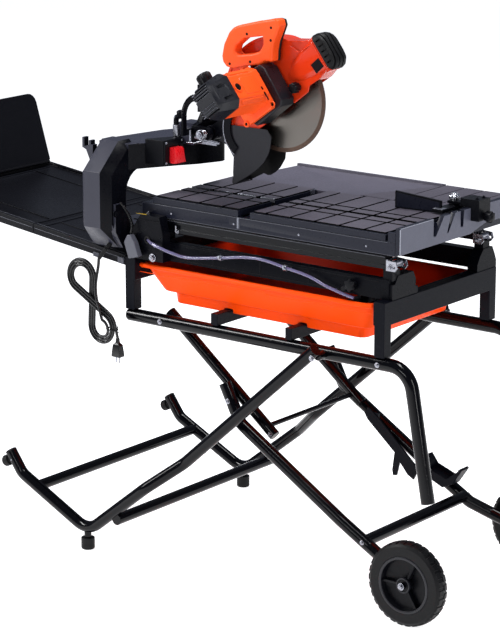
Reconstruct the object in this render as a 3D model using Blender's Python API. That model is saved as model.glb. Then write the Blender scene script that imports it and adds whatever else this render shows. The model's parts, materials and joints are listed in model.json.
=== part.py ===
"""Portable overhead wet tile cutter on a folding wheeled stand.

Lengths are in millimetres, in a working frame with X along the cut (the
operator's end is +X), Y across it and the floor at Z 0.  SHIFT moves that
frame to the middle of the part's footprint.
"""
import math

import bmesh
import bpy
from mathutils import Matrix, Vector

SHIFT = (239.36, -5.75, 0.0)

for old in list(bpy.data.objects):
    bpy.data.objects.remove(old, do_unlink=True)

# ------------------------------------------------------------------ sizes
GAP = 0.3                       # clearance between separate pieces
WHEEL_R = 100.5
HUB = (488.8, 100.5)
WHEEL_Y0 = 242.5
RAIL_R, RAIL_Y, RAIL_Z = 16.0, 218.5, 590.7
PIVOT_A = (208.0, 591.0)        # foot frame on the rails
PIVOT_B = (-264.0, 591.0)       # levers on the rails
PIVOT_C = (-33.0, 375.0)        # foot frame crosses wheel frame
LEG_R, LEG_Y, FOOT_Y = 14.5, 265.0, 312.5
LEVER_R, LEVER_Y = 13.5, 177.0
WLEG_R, WLEG_Y = 15.0, 210.0
STAND_X0, STAND_X1, STAND_Y = -369.0, 395.0, 232.5
STAND_Z0, STAND_Z1 = 681.0, 736.0
BLADE_R, BLADE_T = 127.0, 2.4
BLADE_Y = -61.0
PLUNGE = (-222.0, 1034.0)       # head hinge, X and Z
RAISED = 37.0                   # degrees the head stands above full plunge
BLADE_C = (-4.0, 995.0)         # blade centre at full plunge
TILT = (-61.0, 889.0)           # bevel axis, Y and Z
TABLE_NEAR, TABLE_FAR = -200.0, 341.0
TABLE_X0, TABLE_X1 = -340.0, 399.5
BOARD_Z0, BOARD_Z1 = 838.0, 870.0
MAT_Z = 888.5
SLOT_Y0, SLOT_Y1 = -85.0, -40.0
CROSS_X0, CROSS_X1 = -75.0, -41.0
TRAY_SLOPE = 0.124
TRAY_X0 = -369.4
SPLASH = (-1010.0, 827.5)

COLOURS = {
    "gloss_black": ((0.012, 0.012, 0.014), 0.25, 0.0),
    "satin_black": ((0.03, 0.031, 0.036), 0.45, 0.0),
    "black_plastic": ((0.02, 0.02, 0.022), 0.5, 0.0),
    "black_rubber": ((0.015, 0.015, 0.016), 0.8, 0.0),
    "tyre_rubber": ((0.02, 0.02, 0.02), 0.85, 0.0),
    "mat_rubber": ((0.09, 0.085, 0.095), 0.7, 0.0),
    "orange_plastic": ((0.9, 0.12, 0.01), 0.35, 0.0),
    "basin_plastic": ((0.95, 0.14, 0.01), 0.35, 0.0),
    "guard_paint": ((0.7, 0.04, 0.01), 0.25, 0.0),
    "red_plastic": ((0.75, 0.01, 0.015), 0.4, 0.0),
    "blade_steel": ((0.55, 0.53, 0.5), 0.3, 1.0),
    "bright_steel": ((0.75, 0.75, 0.76), 0.2, 1.0),
    "black_rail": ((0.025, 0.025, 0.028), 0.3, 1.0),
    "cable_rubber": ((0.012, 0.012, 0.012), 0.6, 0.0),
    "grey_plastic": ((0.16, 0.16, 0.18), 0.45, 0.0),
    "clear_hose": ((0.5, 0.5, 0.6), 0.15, 0.0),
}


def material(name):
    found = bpy.data.materials.get(name)
    if found:
        return found
    colour, rough, metal = COLOURS[name]
    made = bpy.data.materials.new(name)
    made.use_nodes = True
    bsdf = made.node_tree.nodes["Principled BSDF"]
    bsdf.inputs["Base Color"].default_value = (*colour, 1.0)
    bsdf.inputs["Roughness"].default_value = rough
    bsdf.inputs["Metallic"].default_value = metal
    return made


# ------------------------------------------------------- solids, as (v, f)
def prism(points, axis, a, b):
    """Extrude a closed outline. axis X: points (y, z); Y: (x, z); Z: (x, y)."""
    def place(p, t):
        if axis == "X":
            return (t, p[0], p[1])
        if axis == "Y":
            return (p[0], t, p[1])
        return (p[0], p[1], t)
    n = len(points)
    v = [place(p, a) for p in points] + [place(p, b) for p in points]
    f = [tuple(range(n))[::-1], tuple(range(n, 2 * n))]
    f += [(i, (i + 1) % n, n + (i + 1) % n, n + i) for i in range(n)]
    return v, f


def box(x0, x1, y0, y1, z0, z1):
    return prism([(x0, y0), (x1, y0), (x1, y1), (x0, y1)], "Z", z0, z1)


def frame_at(direction):
    d = Vector(direction).normalized()
    side = Vector((0, 0, 1)) if abs(d.z) < 0.9 else Vector((1, 0, 0))
    u = d.cross(side).normalized()
    return u, d.cross(u).normalized()


def fillet(path, radius, steps=5):
    """Round the inner corners of a polyline; radius may be a list."""
    pts = [Vector(p) for p in path]
    out = [pts[0]]
    for i in range(1, len(pts) - 1):
        r = radius[i - 1] if isinstance(radius, (list, tuple)) else radius
        a, b, c = pts[i - 1], pts[i], pts[i + 1]
        u, w = (a - b).normalized(), (c - b).normalized()
        angle = u.angle(w)
        if r <= 0 or angle > math.radians(178):
            out.append(b)
            continue
        cut = min(r / math.tan(angle / 2), (a - b).length * 0.49, (c - b).length * 0.49)
        r = cut * math.tan(angle / 2)
        centre = b + (u + w).normalized() * (r / math.sin(angle / 2))
        p, q = b + u * cut - centre, b + w * cut - centre
        turn = p.angle(q)
        axis = p.cross(q).normalized()
        for k in range(steps + 1):
            out.append(centre + Matrix.Rotation(turn * k / steps, 3, axis) @ p)
    out.append(pts[-1])
    return out


def tube(path, r, n=12, bend=0.0, steps=5):
    """A round bar swept along a polyline, ends closed."""
    pts = fillet(path, bend, steps) if bend else [Vector(p) for p in path]
    dirs = [(pts[min(i + 1, len(pts) - 1)] - pts[max(i - 1, 0)]).normalized() for i in range(len(pts))]
    u, w = frame_at(dirs[0])
    v, f = [], []
    for i, p in enumerate(pts):
        if i:
            u = (u - dirs[i] * u.dot(dirs[i])).normalized()
            w = dirs[i].cross(u)
        grow = 1.0
        if 0 < i < len(pts) - 1:
            half = (pts[i] - pts[i - 1]).angle(pts[i + 1] - pts[i]) / 2
            grow = 1 / max(math.cos(half), 0.8)
        for k in range(n):
            a = 2 * math.pi * k / n
            v.append(p + (u * math.cos(a) + w * math.sin(a)) * r * (1 + (grow - 1) * 0.5))
    m = len(pts)
    for i in range(m - 1):
        for k in range(n):
            a, b = i * n + k, i * n + (k + 1) % n
            f.append((a, b, b + n, a + n))
    f += [tuple(range(n))[::-1], tuple(range((m - 1) * n, m * n))]
    return v, f


def rod(p, q, r, n=14):
    return tube([p, q], r, n)


def lathe(profile, axis, centre, n=32):
    """Revolve (radius, along) points; a radius of 0 closes an end."""
    v, f, rings = [], [], []
    for r, t in profile:
        ring = []
        count = 1 if r == 0 else n
        for k in range(count):
            a = 2 * math.pi * k / n
            c, s = r * math.cos(a), r * math.sin(a)
            if axis == "Y":
                p = (centre[0] + c, t, centre[2] + s)
            elif axis == "Z":
                p = (centre[0] + c, centre[1] + s, t)
            else:
                p = (t, centre[1] + c, centre[2] + s)
            ring.append(len(v))
            v.append(p)
        rings.append(ring)
    closed = profile[0][0] != 0
    pairs = list(zip(rings, rings[1:])) + ([(rings[-1], rings[0])] if closed else [])
    for a, b in pairs:
        for k in range(n):
            quad = [a[k % len(a)], a[(k + 1) % len(a)], b[(k + 1) % len(b)], b[k % len(b)]]
            face = []
            for i in quad:
                if i not in face:
                    face.append(i)
            if len(face) > 2:
                f.append(tuple(face))
    return v, f


def rounded(x0, x1, y0, y1, r, steps=4):
    out = []
    for cx, cy, a0 in ((x1 - r, y1 - r, 0), (x0 + r, y1 - r, 90), (x0 + r, y0 + r, 180), (x1 - r, y0 + r, 270)):
        for k in range(steps + 1):
            a = math.radians(a0 + 90 * k / steps)
            out.append((cx + r * math.cos(a), cy + r * math.sin(a)))
    return out


def loft(rings):
    """Skin a list of equal 3-D rings, closed at both ends."""
    n = len(rings[0])
    v = [p for ring in rings for p in ring]
    f = []
    for i in range(len(rings) - 1):
        for k in range(n):
            a, b = i * n + k, i * n + (k + 1) % n
            f.append((a, b, b + n, a + n))
    f += [tuple(range(n))[::-1], tuple(range((len(rings) - 1) * n, len(rings) * n))]
    return v, f


def moved(solid, matrix):
    return [matrix @ Vector(p) for p in solid[0]], solid[1]


def mirror_y(solid):
    return [(p[0], -p[1], p[2]) for p in solid[0]], [tuple(reversed(f)) for f in solid[1]]


def about_y(angle, pivot):
    """Turn about a line along Y through (x, z); + tips +Z toward +X."""
    t = Matrix.Translation((pivot[0], 0, pivot[1]))
    return t @ Matrix.Rotation(math.radians(angle), 4, "Y") @ t.inverted()


def about_z(angle, pivot):
    t = Matrix.Translation((pivot[0], pivot[1], 0))
    return t @ Matrix.Rotation(math.radians(angle), 4, "Z") @ t.inverted()


RAISE = about_y(-RAISED, PLUNGE)


def to_mesh(solid):
    mesh = bpy.data.meshes.new("m")
    mesh.from_pydata([tuple(p) for p in solid[0]], [], [tuple(f) for f in solid[1]])
    bm = bmesh.new()
    bm.from_mesh(mesh)
    bmesh.ops.remove_doubles(bm, verts=bm.verts, dist=1e-3)
    bmesh.ops.dissolve_degenerate(bm, dist=1e-3, edges=bm.edges)
    bmesh.ops.recalc_face_normals(bm, faces=bm.faces)
    if bm.calc_volume(signed=True) < 0:
        bmesh.ops.reverse_faces(bm, faces=bm.faces)
    bm.to_mesh(mesh)
    bm.free()
    return mesh


def combine(first, others, operation):
    """Exact Boolean of solids; the operands don't stay in the scene."""
    base = bpy.data.objects.new("base", to_mesh(first))
    bpy.context.scene.collection.objects.link(base)
    for solid in others:
        other = bpy.data.objects.new("tool", to_mesh(solid))
        bpy.context.scene.collection.objects.link(other)
        mod = base.modifiers.new("b", "BOOLEAN")
        mod.object, mod.operation, mod.solver = other, operation, "EXACT"
        bpy.context.view_layer.update()
        done = bpy.data.meshes.new_from_object(base.evaluated_get(bpy.context.evaluated_depsgraph_get()))
        base.modifiers.clear()
        base.data = done
        bpy.data.objects.remove(other, do_unlink=True)
    v = [tuple(p.co) for p in base.data.vertices]
    f = [tuple(p.vertices) for p in base.data.polygons]
    bpy.data.objects.remove(base, do_unlink=True)
    return v, f


def union(first, *others):
    return combine(first, others, "UNION")


def cut(first, *others):
    return combine(first, others, "DIFFERENCE")


# ---------------------------------------------------------------- bodies
BODIES = {
    "root": (None, (0, 0, 0)),
    "basin_body": ("root", (0, -215, 690)),
    "switch_body": ("root", (-297, -128, 997)),
    "splash_body": ("root", (SPLASH[0], 0, SPLASH[1])),
    "table_body": ("root", (0, 0, BOARD_Z0)),
    "gauge_body": ("table_body", (420, 110, 905)),
    "gauge_head_body": ("gauge_body", (352, 110, 912)),
    "gauge_knob_body": ("gauge_head_body", (352, 110, 930)),
    "clamp_knob_body": ("gauge_body", (448, 110, 884)),
    "tilt_body": ("root", (-262, TILT[0], TILT[1])),
    "bevel_knob_body": ("tilt_body", (-240, -43, 1070)),
    "plunge_body": ("tilt_body", (PLUNGE[0], BLADE_Y, PLUNGE[1])),
    "blade_body": ("plunge_body", None),
    "guard_knob_body": ("plunge_body", None),
    "foot_body": ("root", (PIVOT_A[0], 0, PIVOT_A[1])),
    "lever_body": ("root", (PIVOT_B[0], 0, PIVOT_B[1])),
    "wheel_leg_body": ("foot_body", (PIVOT_C[0], 0, PIVOT_C[1])),
    "near_wheel_body": ("wheel_leg_body", (HUB[0], -WHEEL_Y0, HUB[1])),
    "far_wheel_body": ("wheel_leg_body", (HUB[0], WHEEL_Y0, HUB[1])),
    "latch_body": ("wheel_leg_body", (78, 189, 312)),
    "pedal_body": ("wheel_leg_body", (243, 189, 235)),
    "base_knob_body": ("root", (290, -216, 760)),
}
REST_BLADE = RAISE @ Vector((BLADE_C[0], BLADE_Y, BLADE_C[1]))
BODIES["blade_body"] = ("plunge_body", tuple(REST_BLADE))
GUARD_KNOB = RAISE @ Vector((BLADE_C[0] + 76, -95, BLADE_C[1] - 10))
BODIES["guard_knob_body"] = ("plunge_body", tuple(GUARD_KNOB))
EMPTIES = {}


def metres(p):
    return Vector(((p[0] + SHIFT[0]) / 1000, (p[1] + SHIFT[1]) / 1000, (p[2] + SHIFT[2]) / 1000))


for body, (parent, pivot) in BODIES.items():
    empty = bpy.data.objects.new("at_" + body, None)
    bpy.context.scene.collection.objects.link(empty)
    here = metres(pivot) if parent else Vector((0, 0, 0))
    if parent:
        empty.parent = EMPTIES[parent][0]
        empty.location = here - EMPTIES[parent][1]
    EMPTIES[body] = (empty, here)


def node(name, solid, mat, body="root"):
    empty, here = EMPTIES[body]
    mesh = to_mesh(solid)
    for vert in mesh.vertices:
        vert.co = metres(vert.co) - here
    mesh.materials.append(material(mat))
    made = bpy.data.objects.new(name, mesh)
    mesh.name = name
    bpy.context.scene.collection.objects.link(made)
    made.parent = empty
    return made


def cord(name, points, radius, mat, body="root"):
    """A cord, as a round-section curve through its points."""
    empty, here = EMPTIES[body]
    curve = bpy.data.curves.new(name, "CURVE")
    curve.dimensions = "3D"
    curve.bevel_depth = radius / 1000
    curve.bevel_resolution = 2
    curve.use_fill_caps = True
    curve.render_resolution_u = 0
    spline = curve.splines.new("POLY")
    spline.points.add(len(points) - 1)
    for point, p in zip(spline.points, points):
        point.co = (*(metres(p) - here), 1.0)
    curve.materials.append(material(mat))
    made = bpy.data.objects.new(name, curve)
    bpy.context.scene.collection.objects.link(made)
    made.parent = empty
    return made


def smooth(points, count):
    """Catmull-Rom through the points, resampled at even spacing."""
    pts = [Vector(p) for p in points]
    pts = [pts[0] * 2 - pts[1]] + pts + [pts[-1] * 2 - pts[-2]]
    fine = []
    for i in range(1, len(pts) - 2):
        p0, p1, p2, p3 = pts[i - 1:i + 3]
        for k in range(24):
            t = k / 24
            fine.append(0.5 * ((2 * p1) + (p2 - p0) * t + (2 * p0 - 5 * p1 + 4 * p2 - p3) * t * t
                               + (3 * p1 - p0 - 3 * p2 + p3) * t ** 3))
    fine.append(pts[-2])
    run = [0.0]
    for a, b in zip(fine, fine[1:]):
        run.append(run[-1] + (b - a).length)
    out, j = [], 0
    for k in range(count):
        want = run[-1] * k / (count - 1)
        while j < len(run) - 2 and run[j + 1] < want:
            j += 1
        span = max(run[j + 1] - run[j], 1e-9)
        out.append(fine[j].lerp(fine[j + 1], min(max((want - run[j]) / span, 0), 1)))
    return out


# ------------------------------------------------------------ fixed stand
def stand_end(x0, x1, leg0, leg1):
    beam = box(x0, x1, -STAND_Y, STAND_Y, STAND_Z0, STAND_Z1)
    legs = [box(leg0, leg1, s * STAND_Y - (28 if s > 0 else 0), s * STAND_Y + (28 if s < 0 else 0),
                RAIL_Z + RAIL_R + GAP, STAND_Z0 + 20) for s in (-1, 1)]
    return union(beam, *legs)


node("stand_front", stand_end(364, STAND_X1, 367, STAND_X1), "gloss_black")
node("stand_rear", stand_end(STAND_X0, -338, STAND_X0, -341), "gloss_black")
for side, s in (("near", -1), ("far", 1)):
    y = s * RAIL_Y
    node("rail_" + side, tube([(-366, y, RAIL_Z), (456, y, RAIL_Z), (512, y, 285)], RAIL_R, 14, 60, 7), "gloss_black")
node("basin_bar_front", box(115, 133.4, -231, 231, RAIL_Z + RAIL_R + GAP, 635.5), "satin_black")
node("basin_bar_rear", box(-105.5, -85.6, -231, 231, RAIL_Z + RAIL_R + GAP, 635.5), "satin_black")

# ---------------------------------------------------------------- basin
BASIN_RINGS = [  # x0, x1, half width, z, corner radius
    (-337, 349, 215, 722, 30), (-337, 349, 215, 713, 30), (-329, 342, 208, 711, 26),
    (-291, 330, 190, 657, 24), (-265, 304, 178, 653, 22), (-262, 300, 175, 627, 20)]
INNER = [(-329, 341, 207, 722, 26), (-323, 336, 202, 709, 24), (-286, 325, 185, 662, 22), (-260, 299, 173, 657, 20), (-257, 296, 170, 640, 18)]


def ring(spec, dx=0):
    x0, x1, half, z, r = spec
    return [(x, y, z) for x, y in rounded(x0, x1, -half, half, r)]


basin = loft([ring(s) for s in reversed(BASIN_RINGS)] + [ring(s) for s in INNER])
basin = cut(basin,
            box(-108.5, -82.6, -240, 240, 600, 637), box(112, 136.4, -240, 240, 600, 637))
node("basin", basin, "basin_plastic", "basin_body")
node("pump", union(box(232, 292, -150, -92, 640.3, 706), rod((262, -121, 700), (262, -121, 716), 9)), "black_plastic", "basin_body")

# ------------------------------------------------------------- saw base
beams = [box(-369, 386, s * 192 - 12, s * 192 + 12, 736.4, 782) for s in (-1, 1)]
rear_cross = box(-369, -325, -200, 200, 736.4, 790)
near_casting = prism([(-346, 736.4), (-251, 736.4), (-251, 800), (-262, 846), (-320, 846), (-346, 810)], "Y", -231, -203.5)
front_near = prism([(-201, 736.4), (-99, 736.4), (-99, 752), (-108, 752), (-108, 772), (-118, 790), (-178, 790), (-190, 772), (-201, 772)], "X", 366, 394)
front_far = prism([(150, 736.4), (232, 736.4), (232, 752), (224, 770), (214, 788), (176, 788), (160, 770), (150, 752)], "X", 366, 394)
risers = [box(-300, -262, -199, -170, 770, 805.4), box(-300, -262, 170, 199, 770, 805.4),
          box(367, 392, -199, -170, 780, 805.4), box(367, 392, 176, 204, 780, 805.4)]
feet_link = [box(-369, -250, 150, 204, 745, 790), box(-325, -250, -200, -150, 745, 790)]
foot_strip = box(-346, -251, -205, -195, 745, 780)
saw_base = union(beams[0], beams[1], rear_cross, near_casting, front_near, front_far, *feet_link, foot_strip, *risers)
saw_base = cut(saw_base, rod((-298.6, -240, 787), (-298.6, -215, 787), 7.5, 12))
node("saw_base", saw_base, "satin_black")
for side, y0, y1 in (("near", -200, -171), ("far", 175, 204)):
    rail = cut(box(-272, 373, y0, y1, 805.8, 836),
               box(-280, 380, y0 - 5, y0 + 3, 816, 826) if y0 < 0 else box(-280, 380, y1 - 3, y1 + 5, 816, 826))
    node("slide_rail_" + side, rail, "black_rail")

# --------------------------------------------------------- arm and column
c_shape = [(-288, 810), (-288, 946), (-218, 1014), (-178, 1014), (-178, 944)]
for k in range(7):                       # rounded inner corner
    a = math.radians(90 + 90 * k / 6)
    c_shape.append((-155 + 60 * math.cos(a), 884 + 60 * math.sin(a)))
c_shape += [(-215, 830), (-206, 812), (-196, 800), (-60, 800), (-60, 757), (-240, 757)]


def bevelled(shape, inset, x0, x1, depth=20.0):
    """Extrude a (y, z) outline along X with its outer edges chamfered."""
    n = len(shape)
    centre = (-214.0, 880.0)
    rings = []
    for x, k in ((x0, 1), (x0 + depth, 0), (x1 - depth, 0), (x1, 1)):
        ring_points = []
        for (y, z), (dy, dz) in zip(shape, inset):
            ring_points.append((x, y + dy * k, z + dz * k))
        rings.append(ring_points)
    return loft(rings)


inset = [(20, 8), (20, -8), (8, -20), (0, -20)] + [(0, 0)] * (len(c_shape) - 4)
inset[-1] = (8, 0)
column = bevelled(c_shape, inset, -470, -378)
arm = prism([(-470, -205), (-378, -205), (-318, -92), (-290, -47), (-283, -28), (-266, 18), (-270, 32), (-282, 40),
             (-380, 44), (-425, 30), (-440, 0), (-470, -150)], "Z", 944, 1006)
boss = prism([(-93.5, 1000), (-93.5, 1040), (-84, 1050), (-34, 1050), (-22, 1040), (-22, 1000)], "X", -322, -265)
shoe = box(-440, -369.4, -170, -60, 757, 790)
fork = union(prism([(-496, 992), (-484, 986), (-462, 940), (-462, 1000), (-470, 1000)], "Y", -238, -222), box(-496, -489, -238, -222, 990, 1016), box(-475, -468, -238, -222, 990, 1010))
gusset = prism([(-262, 800), (-262, 868), (-236, 868), (-206, 834), (-190, 796), (-190, 758), (-236, 758)], "X", -440, -371.5)
column = union(column, arm, boss, shoe, gusset, fork)
node("arm_column", column, "satin_black")

node("switch_box", prism([(-357.3, -167), (-302, -167), (-300, -165), (-300, -96), (-302, -94), (-317.7, -94)], "Z", 956, 1017), "black_plastic")
node("switch_paddle", union(box(-299.6, -286, -144, -112, 960, 998),
                            prism([(-286.5, 960), (-286.5, 998), (-282, 994), (-276, 962)], "Y", -144, -112)), "red_plastic", "switch_body")

# ------------------------------------------------------------ rear tray


def tray_z(x, rise=0.0):
    return 714.0 + TRAY_SLOPE * (TRAY_X0 - x) + rise


def tray(x0, x1, lips):
    side = [(x0, tray_z(x0)), (x1, tray_z(x1)), (x1, tray_z(x1, 26)), (x0, tray_z(x0, 26))]
    solid = prism(side, "Y", -231, 231)
    hollow = [(x0 - 30, tray_z(x0 - 30, 19)), (x1 + 30, tray_z(x1 + 30, 19)), (x1 + 30, tray_z(x1 + 30, 60)), (x0 - 30, tray_z(x0 - 30, 60))]
    if lips == "rear":
        hollow = [(x0 + 12, tray_z(x0 + 12, 19)), hollow[1], hollow[2], (x0 + 12, tray_z(x0 + 12, 60))]
    solid = cut(solid, prism(hollow, "Y", -221, 221))
    return solid


node("tray_front", tray(-668, TRAY_X0, ""), "black_plastic")
node("tray_rear", tray(-1030, -668.4, "rear"), "black_plastic")

panel = prism(rounded(-215, 210, 3.5, 187, 26, 4)[0:10] + [(-215, 3.5), (210, 3.5)], "X", -3.5, 3.5)
knuckle = union(panel, rod((0, -212, 0), (0, 207, 0), 4.6, 12))
stands = Matrix.Translation((SPLASH[0], 0, SPLASH[1])) @ Matrix.Rotation(math.radians(-17), 4, "Y")
node("splash_panel", moved(knuckle, stands), "black_plastic", "splash_body")

# --------------------------------------------------------------- table
board = prism([(TABLE_X0, TABLE_NEAR), (TABLE_X1, TABLE_NEAR), (TABLE_X1, TABLE_FAR), (-272, TABLE_FAR), (-296, 112), (TABLE_X0, 112)], "Z", BOARD_Z0, BOARD_Z1)
board = cut(board,
            box(TABLE_X0 - 10, TABLE_X1 + 10, SLOT_Y0 + 6, SLOT_Y1 - 6, 858, 880),
            box(CROSS_X0, CROSS_X1, TABLE_NEAR - 10, 100, 852, 880))
node("table_frame", board, "satin_black", "table_body")


def mat(x0, x1, y0, y1, grooves, rows=()):
    solid = box(x0, x1, y0, y1, BOARD_Z1 + GAP, MAT_Z)
    tools = [box(x - 1.6, x + 1.6, y0 - 5, y1 + 5, MAT_Z - 3, MAT_Z + 5) for x in grooves]
    tools += [box(x0 - 5, x1 + 5, y - 1.6, y + 1.6, MAT_Z - 3, MAT_Z + 5) for y in rows]
    return cut(solid, *tools)


node("mat_near_rear", mat(-307, CROSS_X0 - 1, TABLE_NEAR + 2, SLOT_Y0, (-252, -197, -142)), "mat_rubber", "table_body")
node("mat_near_front", mat(CROSS_X1 + 1, 366, TABLE_NEAR + 2, SLOT_Y0, (14, 69, 124, 179, 234, 289, 344), (-118,)), "mat_rubber", "table_body")
node("mat_far_rear", mat(-307, CROSS_X0 - 1, SLOT_Y1, 111, (-252, -197, -142)), "mat_rubber", "table_body")
node("mat_far_front", mat(CROSS_X1 + 1, 366, SLOT_Y1, 111, (14, 69, 124, 179, 234, 289, 344), (-7,)), "mat_rubber", "table_body")
plate = prism([(-294, 112.4), (76, 112.4), (96, 160), (174, 339), (-271, 339)], "Z", BOARD_Z1 + GAP, 884)
lip = prism([(-271.5, 331), (172, 331), (176, 340.5), (-271.3, 340.5)], "Z", BOARD_Z1 + GAP, MAT_Z + 1.5)
node("side_plate", union(plate, lip), "satin_black", "table_body")
corner = prism([(80, 112.4), (366, 112.4), (366, 338), (180, 338), (100, 160)], "Z", BOARD_Z1 + GAP, MAT_Z)
corner = cut(corner, *[box(x - 1.6, x + 1.6, 100, 350, MAT_Z - 3, MAT_Z + 5) for x in (179, 234, 289, 344)])
node("mat_corner", corner, "mat_rubber", "table_body")

fence = prism([(-200, 842), (87, 842), (150, 858), (300, 858), (300, 904), (-200, 904)], "X", TABLE_X1 + 0.3, 413)
notches = [
    [(-66, 862), (-56, 862), (-22, 905.5), (-22, 915), (-66, 915)],
    [(-10, 862), (-5, 862), (24, 905.5), (24, 915), (4, 915), (4, 900)],
    [(46, 866), (56, 866), (60, 905.5), (60, 915), (45, 915), (45, 900)]]
fence = cut(fence, *[prism(p, "X", 390, 420) for p in notches])
node("fence", fence, "satin_black", "table_body")

# --------------------------------------------------------- angle gauge
clamp = union(box(384, 436, 86, 134, 904.3, 924), box(413.3, 436, 86, 134, 874, 910), box(340, 390, 98, 122, 905, 911))
clamp = cut(clamp, rod((352, 110, 900), (352, 110, 915), 5.2, 16))
node("gauge_clamp", clamp, "black_plastic", "gauge_body")
bar = prism([(336, 40), (366, 40), (366, 176), (348, 190), (336, 176)], "Z", 893, 900)
guide = moved(prism([(-118, 889.2), (4, 889.2), (4, 918), (-118, 930)], "Y", -3, 3), Matrix.Translation((348, 57, 0)) @ Matrix.Rotation(math.radians(6), 4, "Z"))
post = rod((352, 110, 899), (352, 110, 904.5), 13, 16)
node("gauge_head", union(bar, guide, post), "black_plastic", "gauge_head_body")
node("gauge_knob", lathe([(0, 911.4), (12, 911.4), (14, 915), (14, 922), (10, 928), (0, 930)], "Z", (352, 110, 0), 16), "bright_steel", "gauge_knob_body")
node("clamp_knob", lathe([(0, 436.4), (8, 436.4), (8, 441), (15, 442), (15, 458), (12, 461), (0, 461)], "X", (0, 110, 884), 12), "black_plastic", "clamp_knob_body")

# ---------------------------------------------------------- bevel yoke
yoke_plate = prism([(-98, 1007), (-24, 1007), (-24, 1060), (-34, 1082), (-66, 1082), (-84, 1056), (-98, 1052)], "X", -264.6, -250)
ears = [union(box(-262, -236, y0, y1, 1010, 1050), rod((PLUNGE[0], y0, PLUNGE[1]), (PLUNGE[0], y1, PLUNGE[1]), 16, 18),
              box(-240, PLUNGE[0], y0, y1, 1019, 1049)) for y0, y1 in ((-106, -92), (-30, -12))]
pin = rod((PLUNGE[0], -93, PLUNGE[1]), (PLUNGE[0], -29, PLUNGE[1]), 7, 14)
cheeks = [box(-262, -250, -106, -96, 1010, 1050), box(-262, -250, -30, -12, 1010, 1058)]

arc = []
for k in range(9):
    a = math.radians(190 - 16 * k)
    arc.append((-98 + 45 * math.cos(a), 1079 + 45 * math.sin(a)))
for k in range(9):
    a = math.radians(62 + 16 * k)
    arc.append((-98 + 30 * math.cos(a), 1079 + 30 * math.sin(a)))
quadrant = prism(arc, "X", -264.6, -259)
node("bevel_yoke", union(yoke_plate, *ears, *cheeks, pin, quadrant, box(-264.6, -259, -143, -90, 1030, 1044), box(-264.6, -259, -142, -128, 1036, 1078), box(-264.6, -259, -80, -62, 1080, 1146)), "satin_black", "tilt_body")
node("bevel_knob", lathe([(0, -249.6), (6, -249.6), (6, -246), (17, -244), (17, -226), (13, -222), (0, -222)], "X", (0, -43, 1070), 14), "black_plastic", "bevel_knob_body")

near_flap = [(-190, 1020), (-166, 1052), (-150, 1060), (-62, 1060), (-50, 1020), (-60, 984), (-98, 946), (-148, 918), (-146, 985), (-166, 1012)]
flap = union(prism(near_flap, "Y", -90.6, -88.2),
             prism([(-150, 946), (-104, 946), (-62, 978), (-48, 1012), (-62, 1046), (-150, 1046)], "Y", -31, -28.4),
             box(-150, -147, -90.6, -28.4, 926, 952),
             box(-200, -160, -92.5, -88.2, 1024, 1044))
node("splash_flap", cut(flap, box(-210, -160, -95, -91.6, 1010, 1060)), "black_rubber", "tilt_body")


# --------------------------------------------------- head, drawn plunged
def head(x, z):
    """Blade-centred point of the head in its fully plunged position."""
    return (BLADE_C[0] + x, BLADE_C[1] + z)


def hy(points, y0, y1):
    return prism([head(*p) for p in points], "Y", y0, y1)


bx, bz = BLADE_C
gear = hy([(-52, -20), (-44, -36), (44, -36), (55, -24), (57, 62), (48, 76), (-40, 84), (-52, 70)], -141, -91.2)
neck = rod((bx, -92, bz), (bx, -85.4, bz), 27, 20)
node("gear_housing", moved(union(gear, neck), RAISE), "satin_black", "plunge_body")
flange = hy([(-60, -20), (-50, -32), (40, -34), (46, -24), (48, 64), (38, 78), (-40, 92), (-60, 74)], -156, -141.4)


def section(y, w, h, cx=0.0, cz=36.0, corner=16.0, steps=3):
    return [(bx + cx + x, y, bz + cz + z) for x, z in rounded(-w, w, -h, h, corner, steps)]


body = loft([section(-150, 44, 50), section(-168, 40, 45), section(-262, 40, 43)])
node("motor_housing", moved(union(flange, body), RAISE), "orange_plastic", "plunge_body")


def octagon(y, w, h, c, cx=0.0, cz=36.0):
    pts = [(-w + c, -h), (w - c, -h), (w, -h + c), (w, h - c), (w - c, h), (-w + c, h), (-w, h - c), (-w, -h + c)]
    return [(bx + cx + x, y, bz + cz + z) for x, z in pts]


cap = loft([octagon(-262.4, 43, 46, 17), octagon(-276, 43, 46, 17), octagon(-312, 33, 36, 12)])
vents = [box(bx - 50, bx + 50, -320, -292, bz + z - 1.6, bz + z + 1.6) for z in (8, 16, 56, 64)]
node("motor_cap", moved(cut(cap, *vents), RAISE), "black_plastic", "plunge_body")

GUARD_Y0, GUARD_Y1 = -85.0, -35.0


def guard_outline(r, low_rear):
    pts = []
    for k in range(13):
        a = math.radians(192 - (192 - 46) * k / 12)
        pts.append((r * math.cos(a), max(r * math.sin(a), low_rear)))
    pts += [(122, 82), (172, 58)]
    pts += [(181, -16), (140, -26), (104, -24), (92, -34), (42, -34)]
    pts += [(40, low_rear), (-60, low_rear)]
    return pts


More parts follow.
